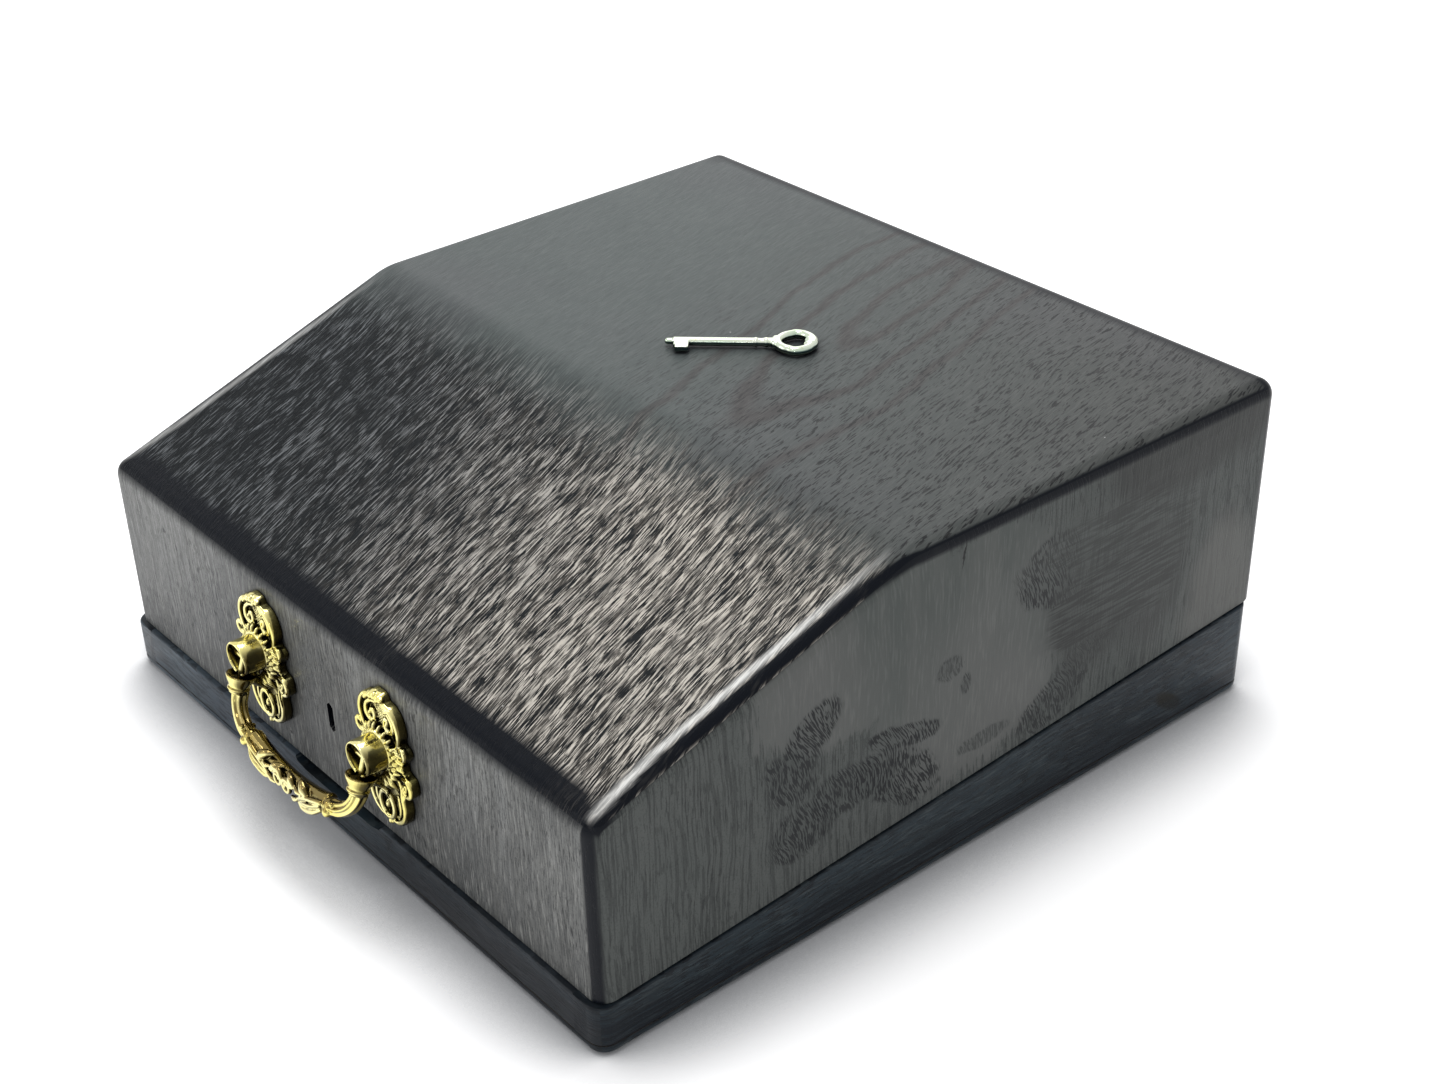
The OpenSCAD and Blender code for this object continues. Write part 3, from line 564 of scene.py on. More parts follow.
def hoodPick(face):  # which wood shows on a face of the hood
    n = face.normal
    if n.z > 0.55:
        return 0
    return 1 if abs(n.y) > abs(n.x) else 2


def share(value):
    return max(0.0, min(1.0, value))


# The stain lies thick on the rounded edges: places from the corner, then how far it reaches and fades out.
endStain = {"front": (4.8, 0.8), "rear": (-2, 0), "full": 3.8, "soft": 3.2}
# Along the sides by degrees round the edge, each with its change on the level top; the ridge gets a painted
# highlight.
sideStainAndHighlight = {"from": 6, "fromTop": 34, "fromSoft": 9, "to": 62, "toTop": 28, "toSoft": 14, "topAt": -42,
             "topSoft": 24, "ridge": 1.8, "ridgeBack": 2.6, "ridgeAt": 4, "ridgeSoft": 26, "highlightAt": 2, "highlightSoft": 6,
             "highlightEnd": -24, "highlightFade": 40, "highlightWide": 1.7, "highlightLeft": 0.45, "capsBelow": 70}


def rimAlong(points):
    marks = [flat(y, z) + flat(*endStain[key]) for key, y, z in (("front", frontY, hoodSize["front"]),
                                                                ("rear", rearY, hoodSize["rear"]))]
    nearest = [min((flat(p.x, p.y) - mark).length for mark in marks) for p in points]
    return [max(0.0, 1 - max(0.0, near - endStain["full"]) / endStain["soft"]) for near in nearest]


def hoodPiece(name, bm, node, pick, onSide=sideWood):
    return newPiece(name, bm, [topWood, frontWood, onSide, innerWood], "hood", "hood_wood", node, pick)


def sidePanel(side):
    bm = bmesh.new()
    layer = bm.verts.layers.float.new("rim")
    highlightLayer = bm.verts.layers.float.new("highlight")
    edge = hoodSize["edge"]
    stages = [(innerHalf + step, 0.0, 0.0) for step in (0.0, 2.0, 3.2, 4.2, 5.2)]
    for i in range(19):
        turn = radians(5 * i)
        stages.append((halfWidth - edge + edge * sin(turn), edge * (1 - cos(turn)), 5.0 * i))
    rows = []
    stainAndHighlight = sideStainAndHighlight
    for x, inset, turn in stages:
        points = ringPoints(inset)
        ends = rimAlong(points) if turn < stainAndHighlight["capsBelow"] else [0.0] * len(points)
        rims, highlights = [], []
        for p, end in zip(points, ends):
            back = share((p.x - stainAndHighlight["topAt"]) / stainAndHighlight["topSoft"])  # 0 on the slope, 1 on the top
            rim = share((turn - stainAndHighlight["from"] - stainAndHighlight["fromTop"] * back) / stainAndHighlight["fromSoft"])
            rim *= share((stainAndHighlight["to"] + stainAndHighlight["toTop"] * back - turn) / stainAndHighlight["toSoft"])
            drift = stainAndHighlight["ridgeBack"] * share((p.x - frontY - stainAndHighlight["ridgeAt"]) / stainAndHighlight["ridgeSoft"])
            ridge = halfWidth - edge + stainAndHighlight["ridge"] - drift
            # a painted highlight along the ridge of the edge, weaker on the left side
            highlight = share((p.x - frontY - stainAndHighlight["highlightAt"]) / stainAndHighlight["highlightSoft"])
            highlight *= share((stainAndHighlight["highlightEnd"] - p.x) / stainAndHighlight["highlightFade"])
            highlight *= share(1.2 - abs(x - ridge) / stainAndHighlight["highlightWide"])
            highlights.append(highlight * (1.0 if side > 0 else stainAndHighlight["highlightLeft"]))
            rims.append(max(rim, end) * (1 - highlight))
        rows.append(vertexRow(bm, [(side * x, p.x, p.y) for p in points], rims, layer))
        for vert, highlight in zip(rows[-1], highlights):
            vert[highlightLayer] = highlight
    skin(bm, rows)

    def pick(face):
        if face.calc_center_median().x * side < innerHalf * mm + 1e-5:
            return 3
        return hoodPick(face)
    label = sideNames[side]
    hoodPiece("sidePanel" + label, bm, "hood_" + label.lower(), pick, sideWood if side > 0 else leftWood)


def boardSection(i):  # outline of the board between corners i and i + 1, split in the middle of each bend
    outer, board = hoodCorners(), hoodSize["board"]
    inner = insetCorners(outer, (hoodSize["frontBoard"], board, board, board))
    radii = [0, hoodSize["edge"], hoodSize["bend"], hoodSize["edge"], 0]
    extra = (1.5, 4.0, 8.0)  # points beside a bend, which end the stain of its edge

    def arcAt(k):
        if not roundSteps[k]:
            return [outer[k]], [outer[k]]
        a, c = outer[k - 1], outer[(k + 1) % 5]
        arc = corner(a, outer[k], c, radii[k], roundSteps[k])
        middle = roundSteps[k] // 2
        before = [onward(arc[0], a, reach) for reach in extra[::-1]] + arc[:middle + 1]
        return before, arc[middle:] + [onward(arc[-1], c, reach) for reach in extra]
    return arcAt(i)[1] + arcAt(i + 1)[0] + [inner[i + 1], inner[i]]


def hoodBoard(name, i, node):
    bm = bmesh.new()
    layer = bm.verts.layers.float.new("rim")
    points = boardSection(i)
    rims = rimAlong(points)
    skin(bm, [vertexRow(bm, [(x, *p) for p in points], rims, layer) for x in (-innerHalf, innerHalf)])

    def pick(face):
        n = face.normal
        if i == 0:
            inside = face.calc_center_median().y / mm > innerFront - 1 and n.y > 0.5
        else:
            inside = n.z < 0.2 if i < 3 else n.y < -0.5
        return 3 if inside else hoodPick(face)
    return hoodPiece(name, bm, node, pick)


def finalMesh(thing):  # the mesh after its modifiers
    bpy.context.view_layer.update()
    return bpy.data.meshes.new_from_object(thing.evaluated_get(bpy.context.evaluated_depsgraph_get()))


def cutAway(piece, bm):
    bmesh.ops.recalc_face_normals(bm, faces=bm.faces)
    cutter = objectFrom(bm, "cutter")
    change = piece.modifiers.new("cut", "BOOLEAN")
    change.operation, change.object, change.solver = "DIFFERENCE", cutter, "EXACT"
    mesh, old = finalMesh(piece), piece.data
    piece.modifiers.clear()
    piece.data = mesh
    mesh.name = old.name
    bpy.data.meshes.remove(old)
    bpy.data.objects.remove(cutter)
    mesh.set_sharp_from_angle(angle=sharpAngle)


def cutSlot(piece, shape, depths, place):  # a straight slot with this outline, from one depth to the other
    bm = bmesh.new()
    skin(bm, [vertexRow(bm, [place(x, z, depth) for x, z in shape]) for depth in depths])
    cutAway(piece, bm)


keyholeSize = {"middle": 49, "width": 3.6, "height": 12, "slant": 1.5}
for side in (-1, 1):
    sidePanel(side)
frontBoard = hoodBoard("frontBoard", 0, "hood_front")
hoodBoard("slopeBoard", 1, "hood_slope")
hoodBoard("topBoard", 2, "hood_top")
hoodBoard("rearBoard", 3, "hood_rear")

half, tall, slant = keyholeSize["width"] / 2, keyholeSize["height"] / 2, keyholeSize["slant"]
slit = [(-half, -tall + slant), (0, -tall), (half, -tall + slant), (half, tall - slant), (0, tall),
        (-half, tall - slant)]
cutSlot(frontBoard, slit, (frontY - 5, innerFront + 5), lambda x, z, y: (x, y, keyholeSize["middle"] + z))

print("base")
baseSize = {"side": 1, "front": 2, "rear": 2.5, "bottom": 4, "round": 3, "ease": 0.7,
            "notchWidth": 52, "notchHeight": 2.6, "notchDepth": 5}
baseFront, baseRear, baseHalf = frontY - baseSize["front"], rearY - baseSize["rear"], halfWidth + baseSize["side"]


def planCorners(x0, x1, radii):
    raw = [flat(x0, baseFront), flat(x1, baseFront), flat(x1, baseRear), flat(x0, baseRear)]
    points = []
    for i in range(4):
        points += corner(raw[i - 1], raw[i], raw[(i + 1) % 4], radii[i], 8 if radii[i] else 0)
    return points


def baseBottom(y):
    return 0.0


def baseTop(y):
    return baseSize["bottom"]


def upright(bm, points, low, high):
    skin(bm, [vertexRow(bm, [(p.x, p.y, height(p.y)) for p in points]) for height in (low, high)])


def easeEdges(bm, choose, width, segments=3):
    bmesh.ops.recalc_face_normals(bm, faces=bm.faces)
    bm.normal_update()
    edges = [e for e in bm.edges if len(e.link_faces) == 2 and choose(e)]
    bmesh.ops.bevel(bm, geom=edges, offset=width * mm, segments=segments, profile=0.5, affect="EDGES",
                    clamp_overlap=True)


def isTopEdge(e):
    ups = [abs(f.normal.z) for f in e.link_faces]
    return max(ups) > 0.9 and min(ups) < 0.3


def baseRim(bm, low, high):  # thick stain on the eased edges
    layer = bm.verts.layers.float.get("rim") or bm.verts.layers.float.new("rim")
    for vert in bm.verts:
        z, y = vert.co.z / mm, vert.co.y / mm
        near = min(abs(z - low), abs(high(y) - z))
        vert[layer] = max(0.0, 0.55 - near / 2)


def basePick(face):
    n, centre = face.normal, face.calc_center_median() / mm
    inside = abs(centre.x) <= innerHalf + 0.2 and innerFront - 0.2 <= centre.y <= innerRear + 0.2
    if inside and centre.z > baseSize["bottom"] - 0.5:
        return 2
    return 1 if abs(n.y) > 0.7 or (abs(n.x) < 0.3 and centre.y < innerFront) else 0


baseWoods = [baseWood, baseFrontWood, innerWood]


def baseRail(label, points, choose):  # choose picks the edges to ease
    bm = bmesh.new()
    upright(bm, points, baseTop, seamHeight)
    easeEdges(bm, choose, baseSize["ease"])
    baseRim(bm, baseSize["bottom"], seamHeight)
    node = "base_" + label.lower() + "_rail"
    return newPiece("baseRail" + label, bm, baseWoods, "base", "base_wood", node, basePick)


edgeRound = hoodSize["edge"]
for side, label in sideNames.items():
    points = [flat(side * p.x, p.y) for p in planCorners(innerHalf, baseHalf, (0, edgeRound, edgeRound, 0))]
    baseRail(label, points,
             lambda e: isTopEdge(e) and any(abs(f.normal.x) > 0.01 or f.normal.y for f in e.link_faces)
             and not any(abs(abs(v.co.x) - innerHalf * mm) < 1e-5 for v in e.verts))
crossRails = {"Front": (baseFront, innerFront, baseFront), "Rear": (innerRear, baseRear, baseRear)}
for label, (y0, y1, edgeY) in crossRails.items():
    points = [flat(-innerHalf, y0), flat(innerHalf, y0), flat(innerHalf, y1), flat(-innerHalf, y1)]
    rail = baseRail(label, points, lambda e: isTopEdge(e) and all(abs(v.co.y - edgeY * mm) < 1e-5 for v in e.verts))
    if label == "Front":
        w, h = baseSize["notchWidth"] / 2, baseSize["notchHeight"]
        scoop = [(-w - 4, 3), (-w, -h * 0.55), (-w + 5, -h), (w - 5, -h), (w, -h * 0.55), (w + 4, 3)]
        cutSlot(rail, scoop, (baseFront - 3, baseFront + baseSize["notchDepth"]),
                lambda x, z, y: (x, y, seamHeight(baseFront) + z))

bm = bmesh.new()
upright(bm, planCorners(-baseHalf, baseHalf, (edgeRound,) * 4), baseBottom, baseTop)
easeEdges(bm, lambda e: isTopEdge(e) and all(v.co.z < 1e-6 for v in e.verts), baseSize["round"], 5)
easeEdges(bm, lambda e: isTopEdge(e) and all(v.co.z > 3.9 * mm for v in e.verts), 0.45, 2)
baseRim(bm, 0.0, baseTop)
newPiece("bottomBoard", bm, baseWoods, "base", "base_wood", "bottom_board",
         lambda f: 2 if f.normal.z > 0.9 else 1 if abs(f.normal.y) > 0.7 else 0)

print("handle")


def smoothPath(points, per=6, closed=False):  # a soft curve through the points
    points = [Vector(p) for p in points]
    count, path = len(points), []
    for i in range(count if closed else count - 1):
        a = points[i - 1] if closed or i else points[0] * 2 - points[1]
        b, c = points[i], points[(i + 1) % count]
        d = points[(i + 2) % count] if closed or i + 2 < count else c * 2 - b
        for k in range(per):
            t = k / per
            path.append(((b * 2) + (c - a) * t + (a * 2 - b * 5 + c * 4 - d) * t * t
                         + (b * 3 - a - c * 3 + d) * t ** 3) / 2)
    return path if closed else path + [points[-1]]


def between(values, t):  # the value at a share t of the way along a list
    spot = t * (len(values) - 1)
    i = min(int(spot), len(values) - 2)
    return values[i] + (values[i + 1] - values[i]) * (spot - i)


# A round rod along a path; place turns the piece's own lengths into the box's frame.
def rod(bm, points, radii, place, sides=10, per=6, closed=False, flutes=(0, 0.0)):
    path = [Vector(place(*p)) for p in smoothPath(points, per, closed)]
    count, rows, side = len(path), [], None
    for i, spot in enumerate(path):
        ahead = path[(i + 1) % count if closed else min(i + 1, count - 1)]
        behind = path[i - 1 if closed or i else 0]
        way = (ahead - behind).normalized()
        side = way.orthogonal().normalized() if side is None else (side - way * side.dot(way)).normalized()
        other = way.cross(side)
        radius = between(radii, i / count if closed else i / (count - 1))
        row = []
        for k in range(sides):
            turn = tau * k / sides
            reach = radius * (1 + flutes[1] * cos(flutes[0] * turn))
            row.append(spot + side * reach * cos(turn) + other * reach * sin(turn))
        rows.append(vertexRow(bm, row))
    for first, second in zip(rows, rows[1:] + ([rows[0]] if closed else [])):
        bridge(bm, first, second)
    if not closed:
        for row, spot, before in ((rows[0], path[0], path[1]), (rows[-1], path[-1], path[-2])):
            reach = (row[0].co / mm - spot).length
            tip = bm.verts.new((spot + (spot - before).normalized() * reach * 0.7) * mm)
            for k in range(sides):
                bm.faces.new((row[k], row[(k + 1) % sides], tip))


def lathe(bm, profile, place, sides=40):  # profile is (radius, distance) pairs; place takes across, up, along
    turns = [tau * k / sides for k in range(sides)]
    skin(bm, [vertexRow(bm, [place(r * cos(turn), r * sin(turn), d) for turn in turns]) for r, d in profile])


def dome(bm, centre, reach, place, turn=0.0):  # an egg-shaped boss
    for vert in bmesh.ops.create_uvsphere(bm, u_segments=14, v_segments=9, radius=1.0)["verts"]:
        x, y, z = vert.co
        x, y = x * reach[0], y * reach[1]
        c, n = cos(turn), sin(turn)
        spot = place(centre[0] + x * c - y * n, centre[1] + x * n + y * c, centre[2] + z * reach[2])
        vert.co = Vector(spot) * mm


def castTogether(name, bm, cast, material, body, slotName, *nodes):  # melts rods and bosses into one casting
    bmesh.ops.recalc_face_normals(bm, faces=bm.faces)
    raw = objectFrom(bm, name + "Raw")
    melt = raw.modifiers.new("melt", "REMESH")
    melt.mode, melt.voxel_size = "VOXEL", cast["voxel"] * mm
    soften = raw.modifiers.new("soften", "SMOOTH")
    soften.factor, soften.iterations = 0.5, 2
    raw.modifiers.new("thin", "DECIMATE").ratio = cast["keep"]
    mesh = finalMesh(raw)
    bpy.data.objects.remove(raw)
    mesh.name = name
    mesh.materials.append(material)
    mesh.shade_smooth()
    return dress(linked(name, mesh), body, slotName, *nodes)


plateSize = {
    "half": 38, "pivot": 59, "deep": 1.22, "voxel": 0.25, "keep": 0.45,
    "outline": [(0, 21.8), (2.6, 21.6), (3.9, 20.0), (4.6, 19.2), (7.6, 18.6), (10.6, 15.6), (12.0, 10.6),
                (11.2, 6.4), (13.2, 5.4), (14.4, 3.4), (13.2, 0.8), (11.4, -1.2), (11.6, -4.6), (14.8, -6.0),
                (15.8, -9.0), (15.2, -12.2), (12.0, -13.4), (10.4, -16.4), (10.9, -20.5), (9.4, -25.6),
                (5.6, -28.8), (2.2, -29.5), (0.8, -30.6), (0, -31.0)],
    "rods": [  # height above the plate, radii and path: upper rim, lower rim, scroll, upper ear, lower ear
        (2.5, [0.8, 0.95, 1.05, 1.0, 0.8],
         [(0, 20.9), (2.4, 20.6), (3.9, 18.7), (7.2, 17.6), (9.8, 14.8), (11.0, 10.6), (10.2, 6.6), (8.4, 3.4)]),
        (2.5, [0.6, 0.9, 1.0, 1.0, 0.7],
         [(7.2, -7.6), (9.4, -11.2), (9.2, -15.2), (9.9, -20.4), (8.4, -24.8), (5.0, -27.7), (1.6, -28.4)]),
        (2.1, [0.5, 0.95, 1.15, 1.05, 0.9, 0.8],
         [(1.2, 16.9), (4.4, 16.2), (7.4, 13.6), (7.6, 10.2), (5.2, 8.6), (2.9, 10.2), (3.4, 12.8), (5.0, 12.6)]),
        (2.6, [0.6, 1.0, 1.15, 0.9, 0.5],
         [(9.6, 1.2), (12.2, 1.6), (13.6, 3.4), (13.0, 5.4), (11.4, 5.2), (11.4, 3.8)]),
        (2.6, [0.7, 1.0, 1.05, 0.95, 0.8, 0.6],
         [(10.6, -6.4), (13.4, -6.6), (15.0, -8.6), (14.8, -11.4), (12.6, -12.6), (10.8, -11.2), (11.2, -9.2),
          (12.8, -9.2)])]}


def onFront(side, deep=1.0):  # right, up and out from the middle of a post
    return lambda u, v, w: (side * plateSize["half"] + u, frontY - w * deep, plateSize["pivot"] + v)


def handlePlate(side):
    place = onFront(side, plateSize["deep"])
    bm = bmesh.new()
    right = plateSize["outline"]
    ring = smoothPath([(x, y, 0) for x, y in right] + [(-x, y, 0) for x, y in right[-2:0:-1]], 4, True)
    rows = []
    for height, shrink in ((0.02, 0.0), (2.3, 0.0), (2.8, 0.35), (2.8, 0.9), (2.4, 1.35), (1.35, 1.7)):
        rows.append(vertexRow(bm, [place(p.x * (1 - shrink / 14), p.y * (1 - shrink / 28), height) for p in ring]))
    skin(bm, rows)
    for s in (-1, 1):
        for height, radii, path in plateSize["rods"]:
            rod(bm, [(s * x, y, height) for x, y in path], radii, place, 8)
        dome(bm, (s * 4.9, 11.6, 2.0), (0.9, 0.9, 1.3), place)
        dome(bm, (s * 12.6, -10.2, 2.8), (0.9, 0.9, 0.9), place)
        for k, (x, y) in enumerate(((3.1, 20.2), (6.0, 17.4))):  # beads beside the crest
            dome(bm, (s * x, y, 2.7), (1.1 - 0.2 * k, 1.0, 1.0), place)
        for k in range(4):  # leaf lobes that fan out below the barrel
            turn, reach = radians(-68 + 22 * k), 6.4 + 1.3 * sin(k * 1.9)
            x, y = s * (2.0 + 0.6 * k), -8.2 + 0.9 * k
            endX, endY = x + s * reach * cos(turn), y + reach * sin(turn)
            rod(bm, [(x, y, 4.2 - 0.4 * k), ((x + endX) / 2 + s * 0.8, (y + endY) / 2, 4.1 - 0.35 * k),
                     (endX, endY, 2.6)], [1.2, 1.25, 0.35], place, 8)
        for k in range(3):  # ribs on the waist beside the barrel
            rod(bm, [(s * 7.6, 3.2 - 2.9 * k, 3.0), (s * 9.8, 3.0 - 2.9 * k, 2.9), (s * 11.6, 2.0 - 2.9 * k, 2.4)],
                [0.9, 1.0, 0.5], place, 8)
    for k in range(3):  # crest
        dome(bm, ((k - 1) * 1.9, 20.6 - 0.5 * abs(k - 1), 3.0), (1.1, 1.5, 1.1), place, -0.35 * (k - 1))
    for k in range(20):  # gadroons round the barrel's foot
        turn = tau * (k + 0.5) / 20
        dome(bm, (8.3 * cos(turn), 8.3 * sin(turn), 3.1), (1.9, 0.85, 1.3), place, turn)
    lathe(bm, [(7.6, 0.4), (7.6, 3.6), (6.9, 4.4), (5.4, 4.4)], place, 40)
    for row in range(5):  # stippled ground between the scrolls
        for k in range(5):
            x = (k - 2) * 1.45 + (0.7 if row % 2 else 0.0)
            if abs(x) < 3.4 or row in (1, 2):
                dome(bm, (x * 0.8, 9.4 + row * 1.45, 1.5), (0.45, 0.45, 0.6), place)
    rod(bm, [(0, -5.4, 8.0), (0, -8.6, 7.2), (0, -11.8, 5.2), (0, -14.6, 3.4), (0, -17.2, 2.6)],
        [2.7, 2.5, 1.9, 1.3, 0.5], place, 12)
    oval = [(4.0 * cos(tau * k / 12), -22.3 + 5.0 * sin(tau * k / 12), 2.9) for k in range(12)]
    rod(bm, oval, [1.0, 1.0], place, 8, 3, True)
    dome(bm, (0, -22.3, 2.0), (1.3, 2.1, 1.6), place)
    for s in (-1, 1):
        rod(bm, [(s * 5.6, -16.4, 2.2), (s * 7.0, -19.6, 2.4), (s * 6.6, -23.4, 2.4), (s * 4.2, -26.4, 2.2)],
            [0.5, 0.75, 0.75, 0.5], place, 8)
    dome(bm, (0, -29.4, 2.2), (1.1, 1.5, 1.2), place)
    label = sideNames[side]
    castTogether("backPlate" + label, bm, plateSize, handleBrass, "hood", "handle_brass",
                 "handle_plate_" + label.lower())


postSize = {"out": 13.2, "outer": 6.5, "inner": 5.5, "pinBack": 3.5, "neck": 1.55, "stud": 2.0}
pivotY = frontY - postSize["out"] + postSize["pinBack"]


def handlePost(side):
    place = onFront(side)
    outer, inner, out, stud = (postSize[key] for key in ("outer", "inner", "out", "stud"))
    bm = bmesh.new()
    lathe(bm, [(0.05, 3.4), (6.9, 3.4), (6.9, 4.6), (6.6, 4.9), (outer, 5.3), (outer, 8.0), (outer, 11.0),
               (outer, out - 0.7), (6.35, out - 0.25), (6.1, out - 0.04), (5.85, out - 0.04), (5.6, out - 0.25),
               (inner, out - 0.7), (inner, 9.0), (inner - 0.1, 6.8), (4.8, 6.3), (0.05, 6.2)], place, 56)
    lathe(bm, [(0.05, -21.0), (1.7, -21.0), (stud, -20.6), (stud, 3.6), (0.05, 3.6)], place, 24)
    label = sideNames[side]
    post = newPiece("post" + label, bm, [handleBrass], "hood", "handle_brass", "handle_post_" + label.lower())
    w, low = postSize["neck"], -outer - 1
    neck = [(-w, low), (w, low), (w, -0.4), (w * 0.7, 0.5), (-w * 0.7, 0.5), (-w, -0.4)]
    cutSlot(post, neck, (out - postSize["pinBack"] - 1.6, 20), place)


bailSize = {"lean": 20.0, "half": 38, "corner": 24, "drop": 27.5, "sag": 3.0, "armTop": 13.1, "barBack": -1.0,
            "room": 12.85, "voxel": 0.26, "keep": 0.4}
leanTurn = radians(bailSize["lean"])


def bailPlace(x, down, out):
    return (x, pivotY - down * sin(leanTurn) - out * cos(leanTurn),
            plateSize["pivot"] - down * cos(leanTurn) + out * sin(leanTurn))


def kept(x, down, out, reach):  # holds the ornament inside the handle's room in front
    return (x, down, min(out, (bailSize["room"] - reach - down * sin(leanTurn)) / cos(leanTurn)))


def leaf(bm, points, radii, s):
    last = len(points) - 1
    rod(bm, [kept(s * x, down, out, between(radii, i / last)) for i, (x, down, out) in enumerate(points)], radii,
        bailPlace, 10)


def bailArm(bm, s):  # fluted arm, the socket at its top, the tongue and the pivot's sleeve
    bend, low, half = bailSize["corner"], bailSize["drop"] - bailSize["sag"], bailSize["half"]

    def upArm(a, b, c):
        return bailPlace(s * half + a, c, b)

    def acrossArm(a, b, c):
        return bailPlace(s * half + c, a, b)
    arm = [(s * half, 11.5, 0)]
    for degrees in (88, 70, 50, 30, 12):
        turn = radians(degrees)
        arm.append((s * (bend + (half - bend) * sin(turn)), low - (low - bailSize["armTop"]) * (1 - cos(turn)),
                    bailSize["barBack"] * degrees / 90))
    rod(bm, arm, [3.0, 2.9, 2.6, 2.5, 2.6, 2.6], bailPlace, 42, 8, False, (7, 0.13))
    lathe(bm, [(0.05, 8.7), (3.2, 8.5), (4.1, 7.5), (4.85, 6.75), (5.25, 6.8), (5.35, 7.4), (4.8, 8.8), (4.0, 10.2),
               (3.6, 11.2), (4.05, 11.7), (4.05, 12.2), (3.4, 12.7), (3.2, 13.6), (0.05, 13.6)], upArm, 32)
    lathe(bm, [(0.05, 0.0), (1.3, 0.0), (1.3, 9.4), (0.05, 9.4)], upArm, 16)
    lathe(bm, [(1.06, -4.2), (1.35, -4.2), (1.45, -4.0), (1.45, 4.0), (1.35, 4.2), (1.06, 4.2)], acrossArm, 20)


def buildBail():
    bm = bmesh.new()
    for s in (-1, 1):
        bailArm(bm, s)
        dome(bm, (s * 25.6, 24.8, -0.4), (3.3, 3.3, 3.2), bailPlace, -0.6 * s)  # knob at the lower corner
        dome(bm, kept(s * 26.4, 26.2, 1.6, 1.7), (1.9, 1.9, 1.7), bailPlace)
        rod(bm, [(s * 28.8, 22.0, 2.6), (s * 28.4, 23.4, 0), (s * 28.8, 22.0, -2.8)], [0.9, 0.9], bailPlace, 8)
        for points, radii in (  # the big leaf: upper edge, lower edge, midrib, veins
                ([(23.6, 24.4, 2.4), (19.0, 25.6, 2.9), (14.0, 27.4, 2.6), (10.2, 29.6, 1.6), (8.2, 31.2, 0.8)],
                 [1.0, 1.0, 0.95, 0.85, 0.5]),
                ([(23.0, 27.0, 1.2), (19.6, 29.6, 1.6), (15.6, 31.4, 1.0), (11.8, 31.9, 0.6), (8.6, 31.2, 0.4)],
                 [1.1, 1.3, 1.35, 1.2, 0.6]),
                ([(22.8, 25.8, 2.4), (18.4, 28.0, 2.6), (14.0, 29.6, 2.0), (10.4, 30.6, 1.2)], [0.7, 0.75, 0.7, 0.4]),
                ([(19.2, 27.8, 2.2), (17.6, 29.4, 1.8), (15.8, 30.4, 1.2)], [0.5, 0.5, 0.35]),
                ([(16.0, 28.9, 2.0), (13.6, 28.2, 2.0), (11.8, 28.4, 1.6)], [0.45, 0.45, 0.3])):
            leaf(bm, points, radii, s)
        dome(bm, kept(s * 15.8, 28.9, 1.0, 0.9), (7.2, 2.5, 0.9), bailPlace, -0.42 * s)
        for points, radii in (  # pointed tips that lie over the bar
                ([(15.6, 26.6, 2.2), (13.2, 24.8, 2.6), (11.0, 23.4, 2.2), (8.4, 22.9, 1.0)], [1.2, 1.9, 1.4, 0.3]),
                ([(7.4, 27.4, 2.4), (5.4, 25.2, 2.6), (3.2, 24.2, 2.0), (1.2, 23.8, 1.2)], [1.0, 1.4, 1.0, 0.3]),
                ([(9.6, 30.2, 1.6), (7.4, 31.3, 1.2), (5.0, 31.6, 0.8)], [0.9, 1.25, 0.6]),
                ([(12.4, 27.0, 2.4), (9.8, 27.2, 2.8), (7.6, 26.2, 2.6)], [0.7, 1.0, 0.4])):
            leaf(bm, points, radii, s)
    bar = [(x, bailSize["drop"] - bailSize["sag"] * (x / bailSize["corner"]) ** 2 - 0.6, bailSize["barBack"])
           for x in range(-24, 25, 6)]
    rod(bm, bar, [2.9, 2.8, 2.8, 2.8, 2.8, 2.8, 2.8, 2.8, 2.9], bailPlace, 22)
    for start, middle, size, way in ((200, (-2.6, 28.2), 3.4, 1), (-20, (3.4, 28.8), 3.0, -1)):  # scrolls
        curl = []
        for k in range(17):
            turn = radians(start) + way * k / 16 * 1.5 * tau
            reach = size * (1 - 0.8 * k / 16)
            curl.append(kept(middle[0] + reach * cos(turn), middle[1] + reach * sin(turn), 3.0, 0.85))
        rod(bm, curl, [1.0, 0.95, 0.8, 0.65], bailPlace, 9, 3)
    castTogether("bail", bm, bailSize, bailBrass, "bail", "handle_brass", "bail")


for side in (-1, 1):
    handlePlate(side)
    handlePost(side)
buildBail()

print("key")
keySize = {"at": (-14, 11), "turn": 46, "length": 54, "stem": 1.55, "tip": 3.2, "bow": 6.3, "rod": 1.7, "clear": 0.2,
           "bitLength": 5.5, "bitReach": 6.2, "bitThick": 2.0, "lift": 1.75, "bowFrom": -34, "bowSweep": 412,
           "bowSteps": 29, "tuckAt": 24, "tuck": 1.9, "voxel": 0.2, "keep": 0.5}


